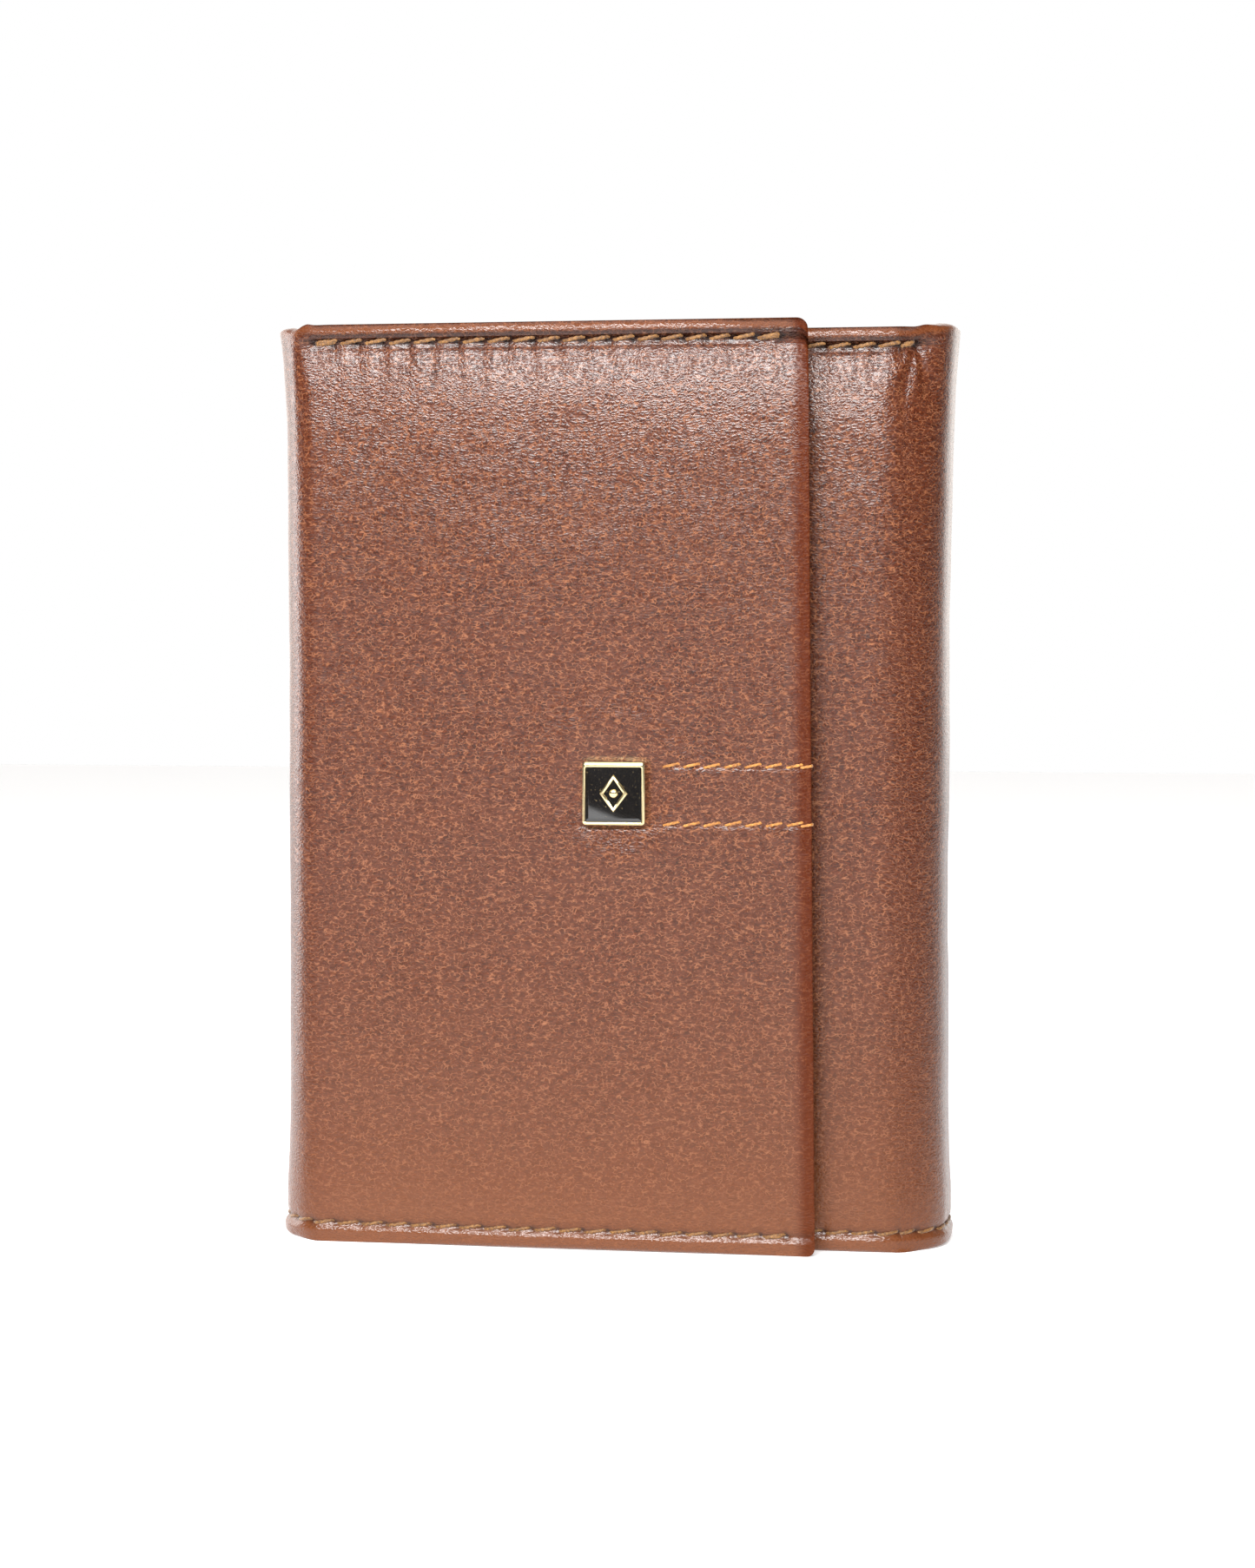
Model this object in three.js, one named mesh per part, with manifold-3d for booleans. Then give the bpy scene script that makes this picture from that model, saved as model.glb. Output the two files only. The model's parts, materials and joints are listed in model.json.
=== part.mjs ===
// Trifold wallet, closed and standing on its lower edge.
// Millimetres. +X to the right, +Y to the rear, +Z up. The front flap faces -Y.
//
// The wallet is a stack of thin layers. A layer's place is its depth, counted forward from
// the rear face, so every layer follows the thicknesses and spaces named below.
import * as THREE from 'three';
import { mergeVertices } from 'three/addons/utils/BufferGeometryUtils.js';
import Module from 'manifold-3d';

const wasm = await Module();
wasm.setup();

// ---- Overall sizes ----
const WIDTH = 93.7;               // across the two spines, leather to leather
const BODY_HEIGHT = 129;          // back, spines and inner flap
const OUTER_FLAP_OVERHANG = 1;    // the outer flap stands this much above the body
const OUTER_FLAP_HEIGHT = BODY_HEIGHT + OUTER_FLAP_OVERHANG;

// ---- Sheet thicknesses ----
const LEATHER = 1.0;
const PADDING = 1.0;
const LINING = 0.5;
const LEAF = 0.7;                 // pocket and slot leaves
const WALL = 0.8;                 // coin pocket walls
const FILM = 0.3;

// ---- Spaces between sheets ----
const GAP = 0.3;                  // between pieces that lie on each other
const BILL_SPACE = 5.0;
const COIN_SPACE = 4.6;
const CARD_SPACE = 0.9;
const SLOT_GAP = 0.6;             // coin pocket to the first card slot
const CLOSED_SPACE = 0.9;         // card slots to the closed inner flap
const CLOSURE_SPACE = 0.5;        // inner flap to the closed outer flap

// ---- Folds: each corner of the plan is a quarter ellipse on the leather's mid line ----
const FOLD_X = 5.5;
const FOLD_Y = 11;
const FOLD_SPLIT = 0.464;         // ellipse angle where one leather piece ends and the next starts
const FOLD_SPLIT_GAP = 0.03;      // half the gap there, as an ellipse angle
const FOLD_STEPS = 12;
const SPINE_LINING_FROM = 0.8;    // ellipse angle where a spine's lining starts

// ---- Flap outlines ----
const FREE_EDGE_TOP = 28.9;       // x of the outer flap's free edge
const FREE_EDGE_BOTTOM = 30.2;
const FREE_TOP_RADIUS = 2.75;
const FREE_BOTTOM_RADIUS = 1.2;
const INNER_TIP = -5.5;           // x of the inner flap's free edge
const INNER_TIP_TAPER = 4.5;      // length of the skived tip
const INNER_TIP_DROP = 0.7;       // how much the tip is thinned
const INNER_TIP_RADIUS = 4;

// ---- Inside widths ----
const STACK_CLEARANCE = 1.05;     // coin pocket and card slots to the spine linings
const LINING_LAP = 1.15;          // how far a lining runs into the fold
const SHEET_CORNER = 2;           // corner radius of linings, padding, frame and tab
const LEAF_CORNER = 0.5;
const HEM = 1.5;                  // linings stop this far inside the leather's edge
const PADDING_INSET = 3.5;        // padding stops this far inside, behind the seams

// ---- Seams: thread laid in a groove ----
const THREAD_WIDTH = 0.5;
const THREAD_THICKNESS = 0.3;
const TOP_SEAM_DROP = 2.3;        // seam below a top edge
const BOTTOM_SEAM_RISE = 2.6;     // seam above a bottom edge
const OUTER_SEAM_RIGHT_INSET = 2.7;
const INNER_SEAM_INSET = 0.35;    // inner flap's seams stop this far before the fold
const INNER_SEAM_LEFT = 1;

// ---- Closure and emblem, on one axis ----
const CLOSURE_X = 2.15;
const CLOSURE_Z = 64.4;
const TAB_HALF_HEIGHT = 5.8;
const TAB_SEAM_HALF = 4.05;       // half the distance between the tab's two seams
const TAB_SEAM_LEFT = 8.8;
const TAB_LEFT = -6;
const TAB_EDGE_INSET = 1.5;
const MAGNET_RADIUS = 3.6;
const MAGNET_THICKNESS = 0.7;
const CUP_WALL = 0.7;
const CUP_PROUD = 0.1;            // the cup stands this far out of the tab
const KEEPER_RADIUS = 4.5;
const KEEPER_STEM_RADIUS = 1;
const KEEPER_WASHER_RADIUS = 4.2;
const KEEPER_WASHER = 0.4;
const EMBLEM_HALF = 4.375;        // the emblem is square
const EMBLEM_CORNER = 0.3;
const EMBLEM_BASE = 0.2;
const EMBLEM_RISE = 0.75;         // rim and relief above the base
const EMBLEM_RIM = 0.5;
const ENAMEL = 0.3;
const RELIEF_HALF_WIDTH = 1.7;
const RELIEF_HALF_HEIGHT = 2.3;
const PRONG = 0.7;
const PRONG_SPACING = 4.8;
const EMBLEM_WASHER_RADIUS = 4;
const EMBLEM_WASHER = 0.4;

// ---- Coin pocket and its zip ----
const COIN_BOTTOM = 4;
const COIN_TOP = BODY_HEIGHT - 17.5;
const GUSSET = 0.8;
const BILL_BASE_BOTTOM = 1;
const TAPE = 0.6;
const TAPE_INSET = 2.5;           // tapes stop this far inside the coin pocket's sides
const TAPE_TO_CHAIN = 1.2;        // chain's middle to a tape's inner edge
const CHAIN_INSET = 6;
const CHAIN_CORE_HALF = 0.3;
const TOOTH_REACH = 0.9;          // chain's middle to a tooth's tip
const TOOTH_PITCH = 1.5;
const TOOTH_WIDTH = 0.9;
const CHAIN_HEIGHT = 1.6;
const STOP_LENGTH = 1.2;
const STOP_HEIGHT = 2.2;
const SLIDER_STANDOFF = 0.5;      // closed slider to the chain's end
const SLIDER_LENGTH = 7;
const SLIDER_HALF_WIDTH = 2.0;
const SLIDER_NOSE_HALF = 1.5;
const SLIDER_PLATE = 0.8;
const SLIDER_LIP = 0.6;
const CROWN_HALF_LENGTH = 2.5;
const CROWN_THICKNESS = 1.2;
const CROWN_BAR = 0.7;
const CROWN_EYE_HALF = 1.7;
const CROWN_EYE_HEIGHT = 1.6;
const PULLER_THICKNESS = 0.8;
const PULLER_BAR = 0.9;
const PULLER_EYE = 3.3;
const PULLER_ARM = 0.7;
const PULLER_HALF_WIDTH = 2.0;
const PULLER_LENGTH = 10.5;

// ---- Card slots and pockets ----
const SLOT_TOPS = [13.5, 27.5, 41.5].map((drop) => COIN_TOP - drop);
const SLOT_BOTTOM = 4;
const SLIP_TOPS = [53, 39].map((drop) => BODY_HEIGHT - drop);   // rear leaf first
const SLIP_LEFT = 0;
const SLIP_CLEARANCE = 1;         // slip pockets stop this far inside the card slots' edge
const LEAF_TO_TAB = 4.6;          // slip pocket and window to the closure tab
const OUTER_POCKET_TOP = CLOSURE_Z - TAB_HALF_HEIGHT - LEAF_TO_TAB;
const OUTER_LEAF_SIDE = 0.85;     // leaves stop this far before the fold
const OUTER_LEAF_INSET = 2.2;     // leaves stop this far inside the free edge
const WINDOW_BOTTOM = CLOSURE_Z + TAB_HALF_HEIGHT + LEAF_TO_TAB;
const WINDOW_TOP = OUTER_FLAP_HEIGHT - 5;
const WINDOW_BORDER = 5;
const FILM_LAP = 3;               // how far the film runs under the window's frame

// ---- Layer depths ----
const LAYERS = [                  // name, thickness, space in front
  ['back_leather', LEATHER, GAP],
  ['back_padding', PADDING, GAP],
  ['back_lining', LINING, BILL_SPACE],
  ['coin_rear_wall', WALL, COIN_SPACE],
  ['coin_front_wall', WALL, SLOT_GAP],
  ['card_slot_1', LEAF, CARD_SPACE],
  ['card_slot_2', LEAF, CARD_SPACE],
  ['card_slot_3', LEAF, CLOSED_SPACE],
  ['inner_slip_1', LEAF, CARD_SPACE],
  ['inner_slip_2', LEAF, CARD_SPACE],
  ['inner_flap_lining', LINING, GAP],
  ['inner_flap_padding', PADDING, GAP],
  ['inner_flap_leather', LEATHER, CLOSURE_SPACE],
  ['outer_leaf', LEAF, CARD_SPACE],
  ['outer_flap_lining', LINING, GAP],
  ['outer_flap_padding', PADDING, GAP],
  ['outer_flap_leather', LEATHER, GAP + EMBLEM_BASE + EMBLEM_RISE],
];
const depthOf = {};
let stackDepth = 0;
for (const [name, thickness, space] of LAYERS) {
  depthOf[name] = { rear: stackDepth, front: stackDepth + thickness };
  stackDepth += thickness + space;
}
const yAt = (depth) => stackDepth / 2 - depth;

const midX = WIDTH / 2 - LEATHER / 2;                 // leather's mid line on a spine
const flatHalf = midX - FOLD_X;                       // flat part of a panel
const stackHalf = midX - LEATHER / 2 - GAP - LINING - STACK_CLEARANCE;
const liningHalf = flatHalf + LINING_LAP;
const chainHalf = stackHalf - CHAIN_INSET;
const tapeHalf = stackHalf - TAPE_INSET;
const sliderX = chainHalf - SLIDER_LENGTH / 2 - SLIDER_STANDOFF;
const outerFreeEdge = Math.min(FREE_EDGE_TOP, FREE_EDGE_BOTTOM);
const backMid = depthOf.back_leather.rear + LEATHER / 2;
const innerMid = depthOf.inner_flap_leather.rear + LEATHER / 2;
const outerMid = depthOf.outer_flap_leather.rear + LEATHER / 2;

// ---- Materials ----
const finish = (color, roughness, metalness = 0) =>
  new THREE.MeshStandardMaterial({ color, roughness, metalness });
const leather = finish(0x8c5541, 0.45);
const leafLeather = finish(0x9a6249, 0.5);
const liningCloth = finish(0x6e4a38, 0.85);
const foam = finish(0xd8cfc0, 0.95);
const thread = finish(0xaa7832, 0.7);
const gold = finish(0xcdb27a, 0.25, 1);
const enamel = finish(0x161412, 0.12);
const steel = finish(0xb9b9b6, 0.35, 1);
const tapeCloth = finish(0x5b3b2c, 0.9);
const brass = finish(0xb08a48, 0.35, 1);
const film = finish(0xeef2f2, 0.1);

// ---- Group and solids ----
const wallet = new THREE.Group();
wallet.name = 'trifold_wallet';

function addMesh(name, geometry, material, place = {}) {
  const mesh = new THREE.Mesh(geometry, material);
  mesh.name = name;
  mesh.position.set(place.x ?? 0, place.y ?? 0, place.z ?? 0);
  mesh.rotation.x = place.turnX ?? 0;
  wallet.add(mesh);
  return mesh;
}

function toSolid(geometry) {
  const bare = geometry.index ? geometry.toNonIndexed() : geometry.clone();
  bare.deleteAttribute('normal');
  bare.deleteAttribute('uv');
  const merged = mergeVertices(bare, 1e-5);
  return new wasm.Manifold(new wasm.Mesh({
    numProp: 3,
    vertProperties: new Float32Array(merged.attributes.position.array),
    triVerts: new Uint32Array(merged.index.array),
  }));
}

function toGeometry(solid) {
  const mesh = solid.getMesh();
  const geometry = new THREE.BufferGeometry();
  geometry.setAttribute('position', new THREE.BufferAttribute(mesh.vertProperties, 3));
  geometry.setIndex(new THREE.BufferAttribute(mesh.triVerts, 1));
  return geometry;
}

const cutAll = (solid, tools) => tools.reduce((left, tool) => left.subtract(tool), solid);

// A flat sheet: an outline drawn in x and z, with its rear face at one depth.
function sheetGeometry(outline, rear, front) {
  const geometry = new THREE.ExtrudeGeometry(outline, {
    depth: front - rear, bevelEnabled: false, curveSegments: 8,
  });
  geometry.rotateX(Math.PI / 2);
  geometry.translate(0, yAt(rear), 0);
  return geometry;
}

function addSheet(name, outline, layer, material) {
  return addMesh(name, sheetGeometry(outline, layer.rear, layer.front), material);
}

// A rectangle with its own radius at each corner.
function roundedOutline(left, right, bottom, top, radius) {
  const r = typeof radius === 'number'
    ? { leftTop: radius, rightTop: radius, leftBottom: radius, rightBottom: radius } : radius;
  const shape = new THREE.Shape();
  shape.moveTo(left + r.leftBottom, bottom);
  shape.lineTo(right - r.rightBottom, bottom);
  shape.quadraticCurveTo(right, bottom, right, bottom + r.rightBottom);
  shape.lineTo(right, top - r.rightTop);
  shape.quadraticCurveTo(right, top, right - r.rightTop, top);
  shape.lineTo(left + r.leftTop, top);
  shape.quadraticCurveTo(left, top, left, top - r.leftTop);
  shape.lineTo(left, bottom + r.leftBottom);
  shape.quadraticCurveTo(left, bottom, left + r.leftBottom, bottom);
  return shape;
}

function circleOutline(x, z, radius) {
  const shape = new THREE.Shape();
  shape.absarc(x, z, radius, 0, Math.PI * 2);
  return shape;
}

function boxSolid(x0, x1, depth0, depth1, z0, z1) {
  const box = new THREE.BoxGeometry(x1 - x0, depth1 - depth0, z1 - z0);
  box.translate((x0 + x1) / 2, yAt((depth0 + depth1) / 2), (z0 + z1) / 2);
  return toSolid(box);
}

const discSolid = (radius, depth0, depth1) =>
  toSolid(sheetGeometry(circleOutline(CLOSURE_X, CLOSURE_Z, radius), depth0, depth1));

// ---- Folded ribbons: a path in plan, given a thickness and a height ----
// A corner runs from its panel (angle 0) to its spine (a quarter turn).
// side is +1 on the right, -1 on the left; face is +1 at the front, -1 at the rear.
function cornerPoint(side, face, cornerDepth, angle) {
  const normal = new THREE.Vector2(side * Math.sin(angle) / FOLD_X, face * Math.cos(angle) / FOLD_Y);
  return {
    x: side * (midX - FOLD_X * (1 - Math.sin(angle))),
    depth: cornerDepth - face * FOLD_Y * (1 - Math.cos(angle)),
    normal: normal.normalize(),
  };
}

function cornerPath(side, face, cornerDepth, from, to) {
  const points = [];
  for (let step = 0; step <= FOLD_STEPS; step += 1) {
    const angle = from + (to - from) * step / FOLD_STEPS;
    points.push(cornerPoint(side, face, cornerDepth, angle));
  }
  return points;
}

function ribbonGeometry(path, outerOffset, innerOffset, height) {
  const offsetPoint = (point, offset) => new THREE.Vector2(
    point.x + point.normal.x * offset,
    yAt(point.depth + point.normal.y * offset));
  const outer = path.map((point) => offsetPoint(point, outerOffset - (point.thinned ?? 0)));
  const inner = path.map((point) => offsetPoint(point, innerOffset)).reverse();
  const shape = new THREE.Shape([...outer, ...inner]);
  return new THREE.ExtrudeGeometry(shape, { depth: height, bevelEnabled: false });
}

const leatherRibbon = (path, height) =>
  toSolid(ribbonGeometry(path, LEATHER / 2, -LEATHER / 2, height));

// ---- Seams: a groove to cut and the thread that lies in it ----
// face is +1 where the seam shows at the front, -1 where it shows at the rear.
function straightSeam(name, left, right, z, surfaceDepth, face) {
  const bed = GAP + THREAD_WIDTH / 2;
  const reach = THREAD_THICKNESS + GAP;
  const depths = (depth) => (face > 0
    ? [surfaceDepth - depth, surfaceDepth + (depth === reach ? GAP : 0)]
    : [surfaceDepth - (depth === reach ? GAP : 0), surfaceDepth + depth]);
  const [grooveRear, grooveFront] = depths(reach);
  const [threadRear, threadFront] = depths(THREAD_THICKNESS);
  const half = THREAD_WIDTH / 2;
  const strand = boxSolid(left, right, threadRear, threadFront, z - half, z + half);
  addMesh(name, toGeometry(strand), thread);
  return boxSolid(left - GAP, right + GAP, grooveRear, grooveFront, z - bed, z + bed);
}

function spineSeam(name, side, rear, front) {
  const surface = side * WIDTH / 2;
  const half = THREAD_WIDTH / 2;
  const z = BOTTOM_SEAM_RISE;
  const span = (inner, outer) => [surface - side * inner, surface + side * outer].sort((a, b) => a - b);
  const [x0, x1] = span(THREAD_THICKNESS, 0);
  addMesh(name, toGeometry(boxSolid(x0, x1, rear, front, z - half, z + half)), thread);
  const [g0, g1] = span(THREAD_THICKNESS + GAP, GAP);
  return boxSolid(g0, g1, rear - GAP, front + GAP, z - half - GAP, z + half + GAP);
}

// ---- Outer leather ----
const SPLIT_PANEL = FOLD_SPLIT - FOLD_SPLIT_GAP;
const SPLIT_SPINE = FOLD_SPLIT + FOLD_SPLIT_GAP;
const QUARTER = Math.PI / 2;

function buildBackLeather() {
  const path = [
    ...cornerPath(-1, -1, backMid, SPLIT_PANEL, 0),
    ...cornerPath(1, -1, backMid, 0, SPLIT_PANEL),
  ];
  const surface = depthOf.back_leather.rear;
  const grooves = [
    straightSeam('back_top_thread', -flatHalf, flatHalf, BODY_HEIGHT - TOP_SEAM_DROP, surface, -1),
    straightSeam('back_bottom_thread', -flatHalf, flatHalf, BOTTOM_SEAM_RISE, surface, -1),
  ];
  addMesh('back_leather', toGeometry(cutAll(leatherRibbon(path, BODY_HEIGHT), grooves)), leather);
}

// One spine: its leather, its bottom seam and its lining.
function buildSpine(name, side, frontMid) {
  const path = [
    ...cornerPath(side, -1, backMid, SPLIT_SPINE, QUARTER),
    ...cornerPath(side, 1, frontMid, QUARTER, SPLIT_SPINE),
  ];
  const groove = spineSeam(`${name}_bottom_thread`, side, backMid + FOLD_Y, frontMid - FOLD_Y);
  const solid = leatherRibbon(path, BODY_HEIGHT).subtract(groove);
  addMesh(`${name}_leather`, toGeometry(solid), leather);

  const liningPath = [
    ...cornerPath(side, -1, backMid, SPINE_LINING_FROM, QUARTER),
    ...cornerPath(side, 1, frontMid, QUARTER, SPINE_LINING_FROM),
  ];
  const outside = -(LEATHER / 2 + GAP);
  const lining = ribbonGeometry(liningPath, outside, outside - LINING, BODY_HEIGHT - 2 * HEM);
  addMesh(`${name}_lining`, lining, liningCloth, { z: HEM });
}

function outerFlapOutline(inset) {
  const shape = new THREE.Shape();
  const top = OUTER_FLAP_HEIGHT;
  shape.moveTo(-WIDTH, 0);
  shape.lineTo(FREE_EDGE_BOTTOM - inset - FREE_BOTTOM_RADIUS, 0);
  shape.quadraticCurveTo(FREE_EDGE_BOTTOM - inset, 0, FREE_EDGE_BOTTOM - inset, FREE_BOTTOM_RADIUS);
  shape.lineTo(FREE_EDGE_TOP - inset, top - FREE_TOP_RADIUS);
  shape.quadraticCurveTo(FREE_EDGE_TOP - inset, top, FREE_EDGE_TOP - inset - FREE_TOP_RADIUS, top);
  shape.lineTo(-WIDTH, top);
  return shape;
}

function tabSeamRight(z) {
  const share = z / OUTER_FLAP_HEIGHT;
  return FREE_EDGE_BOTTOM + (FREE_EDGE_TOP - FREE_EDGE_BOTTOM) * share - 2 * GAP;
}

function buildOuterFlapLeather() {
  const layer = depthOf.outer_flap_leather;
  const end = { x: FREE_EDGE_BOTTOM + 1, depth: outerMid, normal: new THREE.Vector2(0, 1) };
  const path = [...cornerPath(-1, 1, outerMid, SPLIT_PANEL, 0), end];
  const outline = toSolid(sheetGeometry(
    outerFlapOutline(0), layer.rear - FOLD_Y, layer.front + GAP));
  const right = FREE_EDGE_TOP - OUTER_SEAM_RIGHT_INSET;
  const top = OUTER_FLAP_HEIGHT - TOP_SEAM_DROP;
  const left = -flatHalf;
  const cuts = [
    straightSeam('outer_flap_top_thread', left, right, top, layer.front, 1),
    straightSeam('outer_flap_bottom_thread', left, right, BOTTOM_SEAM_RISE, layer.front, 1),
  ];
  for (const [name, side] of [['tab_upper_thread', 1], ['tab_lower_thread', -1]]) {
    const z = CLOSURE_Z + side * TAB_SEAM_HALF;
    cuts.push(straightSeam(name, TAB_SEAM_LEFT, tabSeamRight(z), z, layer.front, 1));
  }
  cuts.push(...prongSolids(layer.rear - GAP, layer.front + GAP, GAP));
  const ribbon = leatherRibbon(path, OUTER_FLAP_HEIGHT).intersect(outline);
  addMesh('outer_flap_leather', toGeometry(cutAll(ribbon, cuts)), leather);
}

function buildInnerFlapLeather() {
  const layer = depthOf.inner_flap_leather;
  const forward = new THREE.Vector2(0, 1);
  const path = [
    ...cornerPath(1, 1, innerMid, SPLIT_PANEL, 0),
    { x: INNER_TIP + INNER_TIP_TAPER, depth: innerMid, normal: forward },
    { x: INNER_TIP, depth: innerMid, normal: forward, thinned: INNER_TIP_DROP },
  ];
  const r = INNER_TIP_RADIUS;
  const outline = roundedOutline(INNER_TIP, WIDTH, 0, BODY_HEIGHT,
    { leftTop: r, leftBottom: r, rightTop: 0, rightBottom: 0 });
  const trim = toSolid(sheetGeometry(outline, layer.rear - FOLD_Y, layer.front + GAP));
  const top = BODY_HEIGHT - TOP_SEAM_DROP;
  const [left, right] = [INNER_SEAM_LEFT, flatHalf - INNER_SEAM_INSET];
  const cuts = [
    straightSeam('inner_flap_top_thread', left, right, top, layer.front, 1),
    straightSeam('inner_flap_bottom_thread', left, right, BOTTOM_SEAM_RISE, layer.front, 1),
    discSolid(KEEPER_RADIUS + GAP, layer.rear - GAP, layer.front + GAP),
  ];
  const ribbon = leatherRibbon(path, BODY_HEIGHT).intersect(trim);
  addMesh('inner_flap_leather', toGeometry(cutAll(ribbon, cuts)), leather);
}

// ---- Padding and linings of the three panels ----
// A pad with a round pocket for the washer on the closure's axis.
function addPiercedPad(name, outline, pocketRadius) {
  const layer = depthOf[name];
  const pocket = discSolid(pocketRadius, layer.rear - GAP, layer.front + GAP);
  const pad = toSolid(sheetGeometry(outline, layer.rear, layer.front)).subtract(pocket);
  addMesh(name, toGeometry(pad), foam);
}

function buildPanelCores() {
  const backPad = roundedOutline(-flatHalf, flatHalf, PADDING_INSET,
    BODY_HEIGHT - PADDING_INSET, SHEET_CORNER);
  addSheet('back_padding', backPad, depthOf.back_padding, foam);
  const backLining = roundedOutline(-liningHalf, liningHalf, HEM, BODY_HEIGHT - HEM, SHEET_CORNER);
  addSheet('back_lining', backLining, depthOf.back_lining, liningCloth);

  const innerPad = roundedOutline(INNER_TIP + PADDING_INSET, flatHalf, PADDING_INSET,
    BODY_HEIGHT - PADDING_INSET, SHEET_CORNER);
  addPiercedPad('inner_flap_padding', innerPad, KEEPER_WASHER_RADIUS + GAP);
  const innerLining = roundedOutline(INNER_TIP + HEM, liningHalf, HEM, BODY_HEIGHT - HEM, SHEET_CORNER);
  addSheet('inner_flap_lining', innerLining, depthOf.inner_flap_lining, liningCloth);

  const outerPad = roundedOutline(-flatHalf, outerFreeEdge - PADDING_INSET, PADDING_INSET,
    OUTER_FLAP_HEIGHT - PADDING_INSET, SHEET_CORNER);
  addPiercedPad('outer_flap_padding', outerPad, EMBLEM_WASHER_RADIUS + GAP);
  const outerLining = roundedOutline(-liningHalf, outerFreeEdge - HEM, HEM,
    OUTER_FLAP_HEIGHT - HEM, SHEET_CORNER);
  addSheet('outer_flap_lining', outerLining, depthOf.outer_flap_lining, liningCloth);
}

// ---- Bill compartment, coin pocket and card slots ----
function buildCentre() {
  const billRear = depthOf.back_lining.front + GAP;
  const billFront = depthOf.coin_rear_wall.rear - GAP;
  const billBase = boxSolid(-liningHalf, liningHalf, billRear, billFront,
    BILL_BASE_BOTTOM, BILL_BASE_BOTTOM + GUSSET);
  addMesh('bill_base_gusset', toGeometry(billBase), liningCloth);

  const wall = roundedOutline(-stackHalf, stackHalf, COIN_BOTTOM, COIN_TOP, LEAF_CORNER);
  addSheet('coin_rear_wall', wall, depthOf.coin_rear_wall, leafLeather);
  addSheet('coin_front_wall', wall, depthOf.coin_front_wall, leafLeather);

  const out = stackHalf - GAP;
  const low = COIN_BOTTOM + GAP;
  const high = COIN_TOP - GAP;
  const gusset = new THREE.Shape();
  const corners = [[-out, high], [-out, low], [out, low], [out, high],
    [out - GUSSET, high], [out - GUSSET, low + GUSSET], [-out + GUSSET, low + GUSSET],
    [-out + GUSSET, high]];
  corners.forEach(([x, z], i) => (i ? gusset.lineTo(x, z) : gusset.moveTo(x, z)));
  const room = { rear: depthOf.coin_rear_wall.front + GAP, front: depthOf.coin_front_wall.rear - GAP };
  addSheet('coin_gusset', gusset, room, liningCloth);

  SLOT_TOPS.forEach((top, i) => {
    const name = `card_slot_${i + 1}`;
    const leaf = roundedOutline(-stackHalf, stackHalf, SLOT_BOTTOM, top, LEAF_CORNER);
    addSheet(name, leaf, depthOf[name], leafLeather);
  });
}

// ---- Zip over the coin pocket ----
const chainDepth = (depthOf.coin_rear_wall.front + depthOf.coin_front_wall.rear) / 2;
const tapeBottom = COIN_TOP + GAP;
const chainBottom = tapeBottom + TAPE / 2 - CHAIN_HEIGHT / 2;
const sliderBottom = chainBottom + CHAIN_HEIGHT + GAP;
const sliderTop = sliderBottom + SLIDER_PLATE;
const pullerAxisZ = sliderTop + GAP + CROWN_EYE_HEIGHT / 2;

// An outline in x and depth, extruded upward.
function plateGeometry(outline, bottom, height) {
  const points = outline.map(([x, depth]) => new THREE.Vector2(x, yAt(depth)));
  const geometry = new THREE.ExtrudeGeometry(new THREE.Shape(points),
    { depth: height, bevelEnabled: false });
  geometry.translate(0, 0, bottom);
  return geometry;
}

function buildTapes() {
  const rear = depthOf.coin_rear_wall.rear;
  const front = depthOf.coin_front_wall.front;
  const top = tapeBottom + TAPE;
  const rearTape = boxSolid(-tapeHalf, tapeHalf, rear, chainDepth - TAPE_TO_CHAIN, tapeBottom, top);
  const frontTape = boxSolid(-tapeHalf, tapeHalf, chainDepth + TAPE_TO_CHAIN, front, tapeBottom, top);
  addMesh('zip_rear_tape', toGeometry(rearTape), tapeCloth);
  addMesh('zip_front_tape', toGeometry(frontTape), tapeCloth);
}

// The closed chain: a core with teeth on each side, half a pitch apart.
function chainEdge(side, shift) {
  const points = [];
  const teeth = Math.floor((2 * chainHalf - TOOTH_PITCH) / TOOTH_PITCH);
  const first = -chainHalf + shift + (TOOTH_PITCH - TOOTH_WIDTH) / 2;
  for (let i = 0; i < teeth; i += 1) {
    const x = first + i * TOOTH_PITCH;
    const [near, far] = [chainDepth + side * CHAIN_CORE_HALF, chainDepth + side * TOOTH_REACH];
    points.push([x, near], [x, far], [x + TOOTH_WIDTH, far], [x + TOOTH_WIDTH, near]);
  }
  return points;
}

function buildChain() {
  const outline = [
    [-chainHalf, chainDepth + CHAIN_CORE_HALF],
    ...chainEdge(1, TOOTH_PITCH / 2),
    [chainHalf, chainDepth + CHAIN_CORE_HALF],
    [chainHalf, chainDepth - CHAIN_CORE_HALF],
    ...chainEdge(-1, 0).reverse(),
    [-chainHalf, chainDepth - CHAIN_CORE_HALF],
  ];
  addMesh('zip_chain', plateGeometry(outline, chainBottom, CHAIN_HEIGHT), brass);
  const middle = chainBottom + CHAIN_HEIGHT / 2;
  for (const [name, side] of [['zip_left_stop', -1], ['zip_right_stop', 1]]) {
    const x = side * (chainHalf + GAP + STOP_LENGTH / 2);
    const block = boxSolid(x - STOP_LENGTH / 2, x + STOP_LENGTH / 2, chainDepth - TOOTH_REACH,
      chainDepth + TOOTH_REACH, middle - STOP_HEIGHT / 2, middle + STOP_HEIGHT / 2);
    addMesh(name, toGeometry(block), brass);
  }
}

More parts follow.
